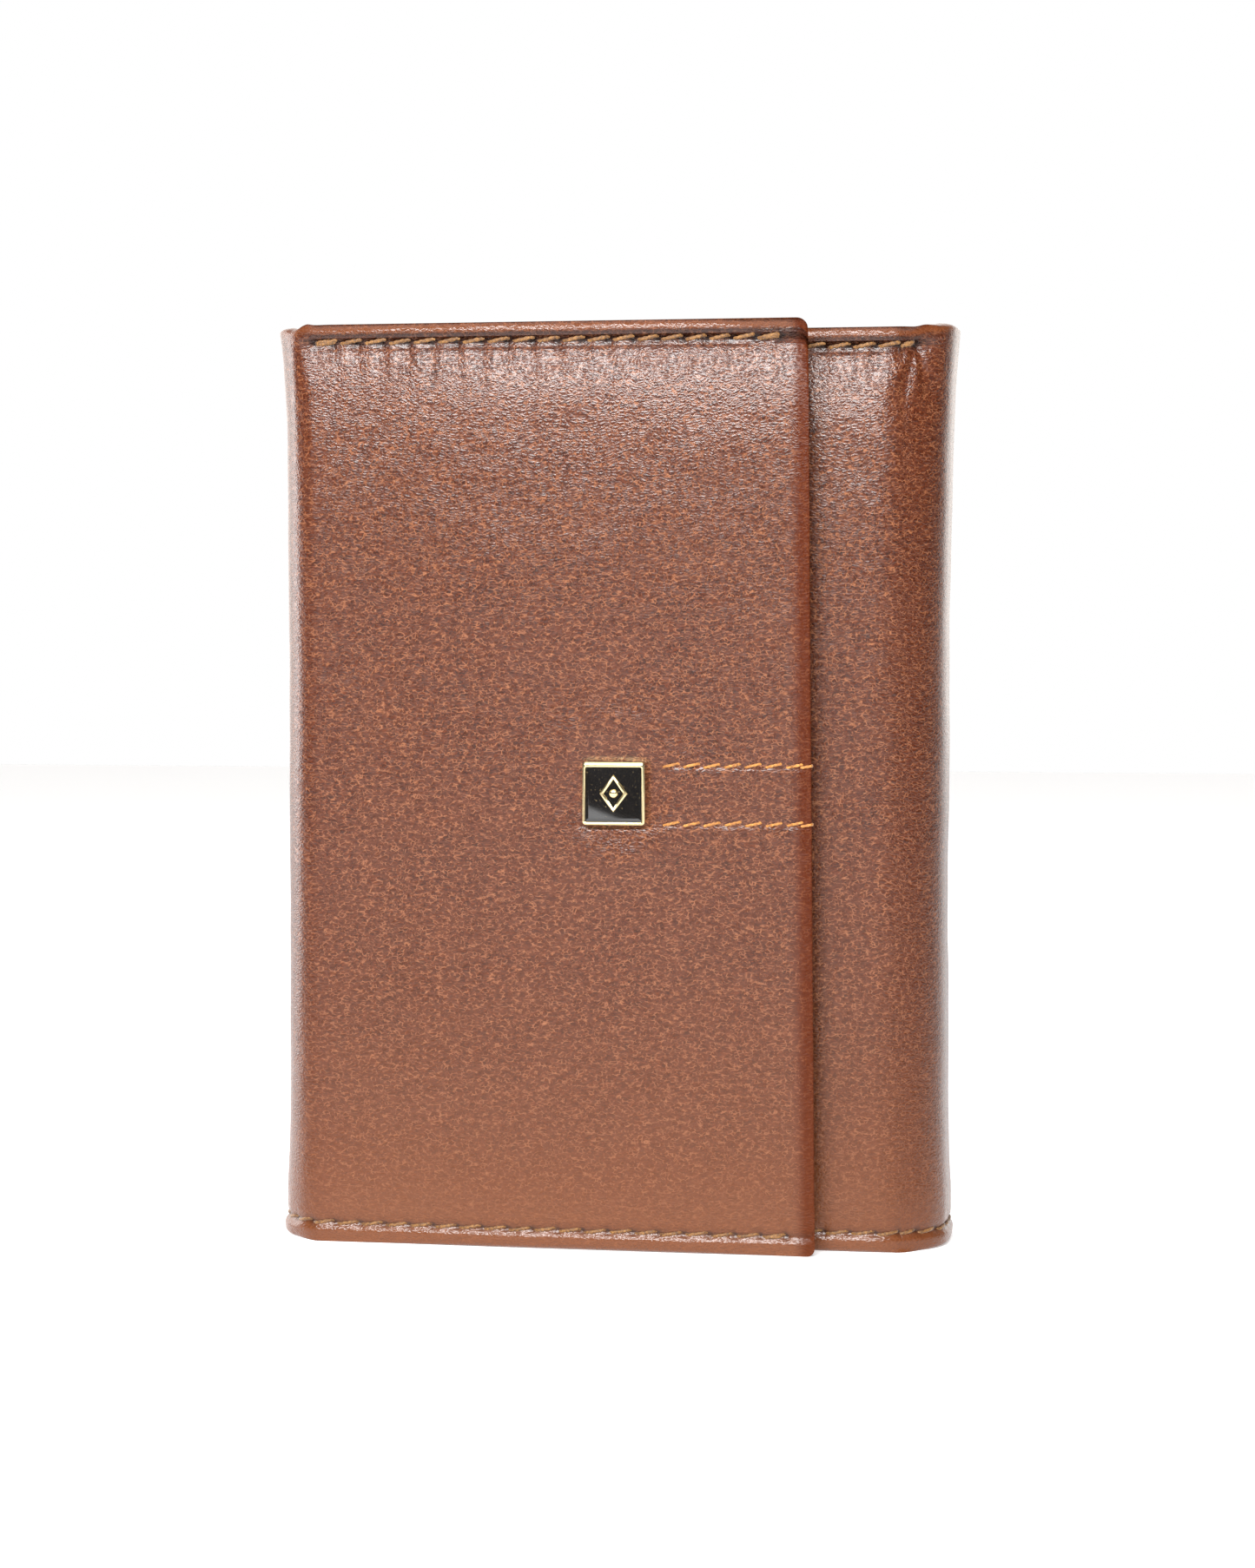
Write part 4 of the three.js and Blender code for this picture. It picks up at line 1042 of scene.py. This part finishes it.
def make_tab_seams():
    for name, seam_z, seed in (("upper", TAB_SEAMS[0], 21), ("lower", TAB_SEAMS[1], 22)):
        row = seam_row(TAB_SEAM_START, outer_u(TAB_SEAM_LEFT), lambda u, z=seam_z: z + 0.05,
                       TAB_THREAD, TAB_SLANT, TAB_PITCH, seed, False)
        wrap = edge_wrap(seam_z, TAB_THREAD)
        seam = join_pieces(f"tab_stitches_{name}", [s for _, s in row] + [wrap])
        set_material(seam, tab_thread)
        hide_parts(f"tab_{name}_thread")
        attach(seam, "outer_flap")


def edge_wrap(z, radius):
    """The stitch that goes round the flap's free edge."""
    t = np.linspace(0, 1, 17)
    u = WRAP_REACH * np.abs(1 - 2 * t)
    height = np.full_like(t, z)
    front = skin_point(u, height, radius * 0.7)
    back = inner_point(u, height)
    back[:, 1] += radius * 0.7
    points = np.where((t < 0.5)[:, None], front, back)
    points[:, 0] -= free_lean(u, height) - radius * 0.6 * (1 - u / WRAP_REACH)
    points[:, 2] += np.linspace(-0.2, 0.3, len(t))
    return strand(points, radius, twist=5.0)


# ------------ linings
def lining_offset(u):
    """Depth of the lining's outer face below the leather's mid line."""
    t = thickness(u)
    return -(t - LEATHER / 2 + 0.1)


def build_lining(name, u0, u1, z0, z1, step=1.0):
    cols = np.linspace(u0, u1, max(2, int((u1 - u0) / step)))
    rows = np.concatenate([[z0, z0 + 0.25], np.arange(z0 + 2, z1 - 2, 4.0), [z1 - 0.25, z1]])
    u, z = np.meshgrid(cols, rows)
    x, y, nx, ny = path_at(u)
    rounding = 0.2 * ((z - z0 < 0.1) | (z1 - z < 0.1))
    sheets = []
    for side in (0.0, -LINING):
        rise = lining_offset(u) + side + (rounding if side else -rounding)
        rise = rise + 0.04 * slow_noise(u, z, 13)
        sheets.append(np.stack([x + nx * rise, y + ny * rise, z], -1).reshape(-1, 3))
    count_z, count_u = u.shape
    faces = shell_faces(count_z, count_u, (0, count_u - 1), (0, count_z - 1))
    obj = mesh_from(name, np.concatenate(sheets), faces)
    drop_doubles(obj)
    sharpen(obj, LINING_SHARP)
    return obj


def make_linings():
    low, high = node_box("outer_flap_lining")
    tip_low, tip_high = node_box("inner_flap_lining")
    spans = {
        "outer": (outer_u(high[0]), U_LEFT_MID), "left": (U_LEFT_MID, U_BACK_MID),
        "right": (U_BACK_MID, U_RIGHT_MID), "inner": (U_RIGHT_MID, inner_u(tip_low[0])),
    }
    replaced = {
        "outer": ("outer_flap_lining",), "left": ("left_spine_lining",),
        "right": ("back_lining", "right_spine_lining"), "inner": ("inner_flap_lining",),
    }
    for part, (u0, u1) in spans.items():
        top = high[2] if part == "outer" else tip_high[2]
        lining = build_lining(f"lining_{part}", u0, u1, low[2], min(top, tip_high[2]))
        set_material(lining, lining_cloth)
        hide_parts(*replaced[part])
        cross_fold(lining)


# ------------ emblem
def rounded_rectangle(cx, cz, half_x, half_z, radius, steps=5):
    points = []
    for qx, qz, start in ((1, 1, 0), (-1, 1, 90), (-1, -1, 180), (1, -1, 270)):
        for k in range(steps + 1):
            a = math.radians(start + 90 * k / steps)
            points.append((cx + qx * (half_x - radius) + radius * math.cos(a),
                           cz + qz * (half_z - radius) + radius * math.sin(a)))
    return points


def loft(name, rings, closed=True):
    """Skin a stack of rings of 3-D points, in millimetres."""
    points = [point for ring in rings for point in ring]
    obj = mesh_from(name, points, tube_faces(len(rings), len(rings[0]), closed=(closed, closed)))
    drop_doubles(obj)
    return obj


EMBLEM_RIM = 0.42             # width of the emblem's frame
FIELD_TILT = 0.05             # the field leans back, so its sloping top edge catches the light
LOZENGE = ((0, 2.3), (1.7, 0), (0, -2.3), (-1.7, 0))
LOZENGE_SECTION = ((-0.26, 0.08), (-0.2, -0.12), (0.0, -0.22), (0.2, -0.12), (0.26, 0.08))
DOME_RADIUS, DOME_RISE = 0.62, 0.3


def square_ring(half, y, radius, top_inset=0.0, tilt=0.0):
    return [(x, y + tilt * (z - EMBLEM_Z), z - top_inset * (z > EMBLEM_Z)) for x, z in
            rounded_rectangle(EMBLEM_X, EMBLEM_Z, half, half, radius)]


def make_emblem():
    front = plate_low[1] + 0.15
    seat = outer_low[1] + 0.55
    half, hole = EMBLEM_HALF, EMBLEM_HALF - EMBLEM_RIM
    plate = loft("emblem_frame", [square_ring(*ring) for ring in (
        (half - 0.25, seat, 0.35), (half, seat - 0.2, 0.45),
        (half, front + 0.22, 0.45), (half - 0.12, front + 0.12, 0.4),
        (half - 0.24, front, 0.34, 0.28), (hole + 0.05, front + 0.03, 0.25, 0.3),
        (hole, front + 0.12, 0.22, 0.3), (hole - 0.03, front + 0.6, 0.2, 0.3))])
    field = loft("emblem_field", [square_ring(size, y, radius, tilt=FIELD_TILT) for size, y, radius in (
        (hole + 0.02, front + 0.55, 0.2), (hole + 0.02, front + 0.36, 0.2),
        (hole - 0.42, front + 0.22, 0.12))])
    relief = join_pieces("emblem_relief", [lozenge_ring(front + 0.16), dome(front + 0.16)])
    drop_doubles(relief, 1e-7)
    for piece, material, slot_name in ((plate, gold, "gold_plate"), (field, enamel, "black_enamel"),
                                       (relief, gold, "gold_plate")):
        set_material(piece, material)
        sharpen(piece, EMBLEM_SHARP)
        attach(piece, "outer_flap")
    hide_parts("emblem_plate")
    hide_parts("emblem_enamel")


def lozenge_ring(base):
    """A plain lozenge with a rounded bar for its sides. Returns verts and faces."""
    verts = []
    for cx, cz in LOZENGE + LOZENGE[:1]:
        length = math.hypot(cx, cz)
        for grow, rise in LOZENGE_SECTION:
            scale = (length + grow * 1.35) / length
            verts.append((EMBLEM_X + cx * scale, base + rise, EMBLEM_Z + cz * scale))
    return verts, tube_faces(len(LOZENGE) + 1, len(LOZENGE_SECTION), closed=(False, False))


def dome(base, rings=5, sides=20):
    """The small dome inside the lozenge. Returns verts and faces."""
    verts = []
    for r in range(rings):
        a = math.radians(90 * r / rings)
        for k in range(sides):
            b = 2 * math.pi * k / sides
            verts.append((EMBLEM_X + DOME_RADIUS * math.cos(a) * math.cos(b),
                          base - DOME_RISE * math.sin(a),
                          EMBLEM_Z + DOME_RADIUS * math.cos(a) * math.sin(b)))
    verts.append((EMBLEM_X, base - DOME_RISE, EMBLEM_Z))
    last = (rings - 1) * sides
    cap = [(last + k, last + (k + 1) % sides, rings * sides) for k in range(sides)]
    return verts, tube_faces(rings, sides, closed=(True, False)) + cap


def body_of(node):
    return frame["nodes"][node].parent.name.split(":")[1]


def stand_in(obj, material, node):
    """Give a piece the finish and the body of the CAD node it stands for."""
    set_material(obj, material)
    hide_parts(node)
    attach(obj, body_of(node))
    return obj


def outline_ring(low, high, inset, y, radius):
    half_x = (high[0] - low[0]) / 2 - inset
    half_z = (high[2] - low[2]) / 2 - inset
    return [(x, y, z) for x, z in rounded_rectangle(
        (low[0] + high[0]) / 2, (low[2] + high[2]) / 2, half_x, half_z, max(radius - inset, 0.08))]


def across(low, high, face):
    """The hidden and the shown face of a leaf. face is the sign of Y it is seen from."""
    return (low[1], high[1]) if face > 0 else (high[1], low[1])


EDGE = 0.18                   # how far a leaf's edge is rounded
CREASE = 1.5                  # from a leaf's edge to its pressed line
WINDOW_BORDER = 3.0           # how far the window's leather reaches over the film


def leaf(node, face, radius=1.5):
    """A pocket leaf: turned edges and a pressed line round them."""
    low, high = node_box(node)
    hidden, shown = across(low, high, face)
    depth = shown - hidden
    steps = [(EDGE, hidden), (0.02, hidden + depth * 0.25), (0.0, hidden + depth * 0.6),
             (EDGE * 0.6, shown - depth * 0.12), (EDGE * 2, shown), (CREASE - 0.3, shown - depth * 0.03),
             (CREASE - 0.08, shown - depth * 0.2), (CREASE + 0.08, shown - depth * 0.2),
             (CREASE + 0.3, shown - depth * 0.03), (CREASE + 2.5, shown),
             (CREASE + 7.0, shown - depth * 0.04)]
    return loft(node + "_leaf", [outline_ring(low, high, inset, y, radius) for inset, y in steps])


def framed_leaf(node, face, border, radius=1.5):
    """A leaf with a window in it."""
    low, high = node_box(node)
    hidden, shown = across(low, high, face)
    depth = shown - hidden
    steps = [(EDGE, hidden), (0.0, hidden + depth * 0.5), (EDGE * 0.6, shown - depth * 0.12),
             (EDGE * 2, shown), (border - CREASE - 0.3, shown), (border - CREASE, shown - depth * 0.2),
             (border - CREASE + 0.3, shown), (border - EDGE * 2, shown),
             (border - EDGE * 0.6, shown - depth * 0.12), (border, hidden + depth * 0.5),
             (border - EDGE, hidden)]
    rings = [outline_ring(low, high, inset, y, radius + 0.6) for inset, y in steps]
    return loft(node + "_leaf", rings + rings[:1], False)


def flat_stitches(name, node, face, sides, inset=2.6, pitch=3.1, radius=0.16):
    """Rows of stitches on a leaf, along the sides named: l, r, b or t."""
    low, high = node_box(node)
    y = across(low, high, face)[1]
    left, right, bottom, top = low[0] + inset, high[0] - inset, low[2] + inset, high[2] - inset
    rows = {"l": (left, top, left, bottom), "r": (right, top, right, bottom),
            "b": (left, bottom, right, bottom), "t": (left, top, right, top)}
    strands = []
    for side in sides:
        x0, z0, x1, z1 = rows[side]
        count = int(math.hypot(x1 - x0, z1 - z0) / pitch)
        for i in range(count):
            t = np.linspace(i + 0.06, i + 0.9, 11) / count
            skew = np.linspace(0.22, -0.22, 11)
            arch = np.sin(math.pi * np.linspace(0, 1, 11)) ** 0.5
            x, z = x0 + (x1 - x0) * t, z0 + (z1 - z0) * t
            x, z = (x, z + skew) if z0 == z1 else (x + skew, z)
            depth = y + face * radius * (arch * 1.1 - 0.6)
            strands.append(strand(np.stack([x, depth, z], 1), radius, 6, 4.0))
    obj = join_pieces(name, strands)
    set_material(obj, thread)
    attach(obj, body_of(node))


def make_pockets():
    for node, rows in (("card_slot_1", "lr"), ("card_slot_2", "lr"), ("card_slot_3", "lrb"),
                       ("coin_front_wall", "lr")):
        stand_in(leaf(node, -1), pocket_leather, node)
        flat_stitches(f"{node}_stitches", node, -1, rows)
    stand_in(leaf("coin_rear_wall", 1), pocket_leather, "coin_rear_wall")
    for node, rows in (("inner_slip_1", "rb"), ("inner_slip_2", "r"), ("outer_slip_pocket", "lrb")):
        stand_in(leaf(node, 1), pocket_leather, node)
        flat_stitches(f"{node}_stitches", node, 1, rows)
    stand_in(leaf("closure_tab", 1, 2.5), pocket_leather, "closure_tab")
    flat_stitches("closure_tab_stitches", "closure_tab", 1, "tb", 1.7)
    window_low, window_high = node_box("window_film")
    frame_low, _ = node_box("window_frame")
    border = window_low[0] - frame_low[0] + WINDOW_BORDER
    stand_in(framed_leaf("window_frame", 1, border), pocket_leather, "window_frame")
    flat_stitches("window_frame_stitches", "window_frame", 1, "lrbt", 2.4)
    rings = [outline_ring(window_low, window_high, inset, y, 1.0) for inset, y in (
        (0.1, window_low[1]), (0.0, window_low[1] + 0.1),
        (0.0, window_high[1] - 0.1), (0.1, window_high[1]))]
    stand_in(loft("window_film_pane", rings), film, "window_film")


COIN_CORNER = 4.0             # radius of the coin gusset's corners
COIN_FOLD, COIN_CLOTH = 2.4, 0.45     # depth of its fold and thickness of its cloth
BILL_FOLD, BILL_CLOTH = 0.9, 0.4


def coin_gusset_path(low, high):
    """Half of the gusset's way round the pocket, as points with their inward directions."""
    path = [(low[0], z, 1.0, 0.0) for z in np.linspace(high[2], low[2] + COIN_CORNER, 24)]
    for a in np.radians(np.linspace(0, 90, 10))[1:]:
        path.append((low[0] + COIN_CORNER - COIN_CORNER * math.cos(a),
                     low[2] + COIN_CORNER - COIN_CORNER * math.sin(a), math.cos(a), math.sin(a)))
    return path


def make_coin_gusset():
    low, high = node_box("coin_gusset")
    path = coin_gusset_path(low, high)
    path += [(-x, z, -nx, nz) for x, z, nx, nz in reversed(path)]
    depths = np.linspace(low[1] + 0.05, high[1] - 0.05, 7)
    middle, reach = (low[1] + high[1]) / 2, (high[1] - low[1]) / 2
    sections = []
    for i, (x, z, nx, nz) in enumerate(path):
        pleat = 0.08 * math.sin(i * 1.7)
        inner = [COIN_FOLD * (1 - abs(y - middle) / reach) * 0.95 + pleat for y in depths]
        outer = [d + COIN_CLOTH for d in inner]
        sections.append([(x + nx * d, y, z + nz * d) for y, d in
                         [*zip(depths, inner), *zip(depths[::-1], outer[::-1])]])
    stand_in(loft("coin_gusset_fold", sections), lining_cloth, "coin_gusset")


def make_bill_gusset():
    low, high = node_box("bill_base_gusset")
    depths = np.linspace(low[1], high[1], 9)
    sections = []
    for i, x in enumerate(np.linspace(low[0], high[0], 40)):
        rise = [BILL_FOLD * (1 - abs(2 * (y - low[1]) / (high[1] - low[1]) - 1)) + 0.05 * math.sin(i * 1.3)
                for y in depths]
        over = [r + BILL_CLOTH for r in rise]
        sections.append([(x, y, low[2] + r) for y, r in
                         [*zip(depths, rise), *zip(depths[::-1], over[::-1])]])
    stand_in(loft("bill_gusset_fold", sections), lining_cloth, "bill_base_gusset")


ZIP_PITCH = 1.5               # from one tooth to the next on the same tape
TAPE_THICKNESS, TAPE_CORD = 0.45, 0.4
TOOTH_OUTLINE = ((0.9, -0.27), (0.9, 0.27), (0.42, 0.27), (0.2, 0.42), (-0.1, 0.4), (-0.28, 0.2),
                 (-0.28, -0.2), (-0.1, -0.4), (0.2, -0.42), (0.42, -0.27))


def tape_section(x, y_wall, y_teeth, z):
    """Across a zip tape: flat, with a corded edge at the teeth."""
    way = 1 if y_teeth > y_wall else -1
    centre = y_teeth - way * TAPE_CORD
    neck = centre - way * TAPE_CORD * 0.9
    points = [(y_wall, z - TAPE_THICKNESS / 2), (neck, z - TAPE_THICKNESS / 2)]
    for k in range(9):
        a = math.radians(-135 + 270 * k / 8)
        points.append((centre + way * TAPE_CORD * math.cos(a), z + TAPE_CORD * math.sin(a)))
    points += [(neck, z + TAPE_THICKNESS / 2), (y_wall, z + TAPE_THICKNESS / 2)]
    return [(x, y, h) for y, h in points]


def make_zip_tapes():
    for node, outward in (("zip_rear_tape", 1), ("zip_front_tape", -1)):
        low, high = node_box(node)
        wall, teeth = (high[1], low[1]) if outward > 0 else (low[1], high[1])
        height = (low[2] + high[2]) / 2
        sections = [tape_section(x, wall, teeth, height + 0.03 * math.sin(x * 0.9))
                    for x in np.linspace(low[0], high[0], 120)]
        stand_in(loft(node + "_cloth", sections), zip_cloth, node)


def make_zip_teeth():
    low, high = node_box("zip_chain")
    middle = (low[1] + high[1]) / 2
    levels = ((low[2] + 0.1, 0.82), (low[2] + 0.28, 1.0), (high[2] - 0.28, 1.0), (high[2] - 0.1, 0.82))
    found = []
    for i in range(int((high[0] - low[0]) / (ZIP_PITCH / 2)) - 1):
        x = low[0] + 0.42 + i * ZIP_PITCH / 2
        side = 1 if i % 2 else -1
        verts = [(x + dx * scale, middle + side * (0.3 + (dy - 0.3) * scale), z)
                 for z, scale in levels for dy, dx in TOOTH_OUTLINE]
        found.append((verts, tube_faces(len(levels), len(TOOTH_OUTLINE))))
    teeth = join_pieces("zip_teeth", found, False)
    drop_doubles(teeth)
    stand_in(teeth, brass, "zip_chain")


BEVEL = 0.14


def bevelled(node, material):
    """The CAD solid with its hard edges broken."""
    source = frame["nodes"][node]
    bm = bmesh.new()
    bm.from_mesh(source.data)
    bm.transform(source.matrix_world)
    bmesh.ops.remove_doubles(bm, verts=bm.verts, dist=1e-7)
    bmesh.ops.dissolve_limit(bm, angle_limit=math.radians(1.5), verts=bm.verts, edges=bm.edges)
    hard = [e for e in bm.edges if len(e.link_faces) == 2 and e.calc_face_angle(0) > math.radians(32)]
    bmesh.ops.bevel(bm, geom=hard, offset=BEVEL * MM, segments=3, profile=0.5, affect="EDGES",
                    clamp_overlap=True)
    bmesh.ops.recalc_face_normals(bm, faces=bm.faces)
    mesh = bpy.data.meshes.new(node + "_metal")
    bm.to_mesh(mesh)
    bm.free()
    mesh.polygons.foreach_set("use_smooth", [True] * len(mesh.polygons))
    obj = new_object(node + "_metal", mesh)
    sharpen(obj, METAL_SHARP)
    return stand_in(obj, material, node)


def make_metal():
    for node in ("zip_left_stop", "zip_right_stop", "zip_slider", "zip_puller"):
        bevelled(node, brass)
    for node in ("magnet_cup", "closure_magnet", "keeper_disc", "keeper_washer", "emblem_washer"):
        bevelled(node, steel)


# ------------ stage, light and camera, in metres
FLOOR_REACH = 1500            # in millimetres
ROOM_FRONT, ROOM_REAR = (0.13, 0.13, 0.135), (2.2, 2.1, 2.0)
CAMERA_PLACE = (0.0846, -0.4722, 0.08825)
CAMERA_LENS, CAMERA_SENSOR = 76.74, 36.0
CAMERA_YAW, CAMERA_PITCH = -10, -2.78


def make_stage():
    corners = [(x * FLOOR_REACH, y * FLOOR_REACH, 0) for x, y in ((-1, -1), (1, -1), (1, 1), (-1, 1))]
    floor = mesh_from("floor", corners, [(0, 1, 2, 3)], False)
    n = new_material("floor_white")
    n.constants(Base_Color=(0.93, 0.94, 0.95, 1), Roughness=0.7, Specular_IOR_Level=0.2,
                Emission_Color=(1, 1, 1, 1), Emission_Strength=0.4)
    floor.data.materials.append(n.owner)


def aim(obj, direction):
    obj.rotation_mode = "QUATERNION"
    obj.rotation_quaternion = direction.to_track_quat("-Z", "Y")


def area_light(name, place, target, size, power):
    data = bpy.data.lights.new(name, "AREA")
    data.shape = "RECTANGLE"
    data.size, data.size_y = size
    data.energy = power
    obj = new_object(name, data)
    obj.location = place
    aim(obj, Vector(target) - Vector(place))


def make_lights():
    area_light("overhead", (-0.1, -0.4, 0.75), (0, 0, 0.08), (0.7, 0.4), 1.15)
    area_light("front_softbox", (-0.05, -0.85, 0.6), (0, 0, 0.11), (0.8, 0.12), 19.0)
    area_light("left_softbox", (-0.62, 0.2, 0.08), (-0.04, 0, 0.07), (0.25, 0.6), 3.0)
    bpy.context.scene.view_settings.view_transform = "Standard"


def make_world():
    """A dim room in front and a bright one behind. The camera itself sees plain white."""
    world = bpy.data.worlds.new("studio")
    bpy.context.scene.world = world
    n = Nodes(world)
    split = n.put(n.add("ShaderNodeSeparateXYZ"), Vector=n.add("ShaderNodeTexCoord").outputs["Generated"])
    behind = n.plus(split.outputs["Y"], n.plus(n.times(split.outputs["X"], -0.25), -0.4))
    room = n.put(n.tree.nodes["Background"], Strength=1.0,
                 Color=n.ramp(behind, [(0.0, ROOM_FRONT), (0.45, ROOM_REAR)]))
    backdrop = n.put(n.add("ShaderNodeBackground"), Color=WHITE)
    seen = n.add("ShaderNodeLightPath").outputs["Is Camera Ray"]
    choose = n.add("ShaderNodeMixShader")
    for socket, value in zip(choose.inputs, (seen, room.outputs[0], backdrop.outputs[0])):
        n.feed(socket, value)
    n.link(choose.outputs[0], n.tree.nodes["World Output"].inputs["Surface"])


def make_camera():
    data = bpy.data.cameras.new("camera")
    data.lens = CAMERA_LENS
    data.sensor_width = CAMERA_SENSOR
    data.clip_start, data.clip_end = 0.01, 10.0
    camera = new_object("camera", data)
    camera.location = CAMERA_PLACE
    yaw, pitch = math.radians(CAMERA_YAW), math.radians(CAMERA_PITCH)
    aim(camera, Vector((math.sin(yaw) * math.cos(pitch), math.cos(yaw) * math.cos(pitch), math.sin(pitch))))
    bpy.context.scene.camera = camera


make_camera()
make_stage()
make_world()
make_lights()
make_skins()
make_seams()
make_tab_seams()
make_linings()
make_emblem()
make_pockets()
make_coin_gusset()
make_bill_gusset()
make_zip_tapes()
make_zip_teeth()
make_metal()
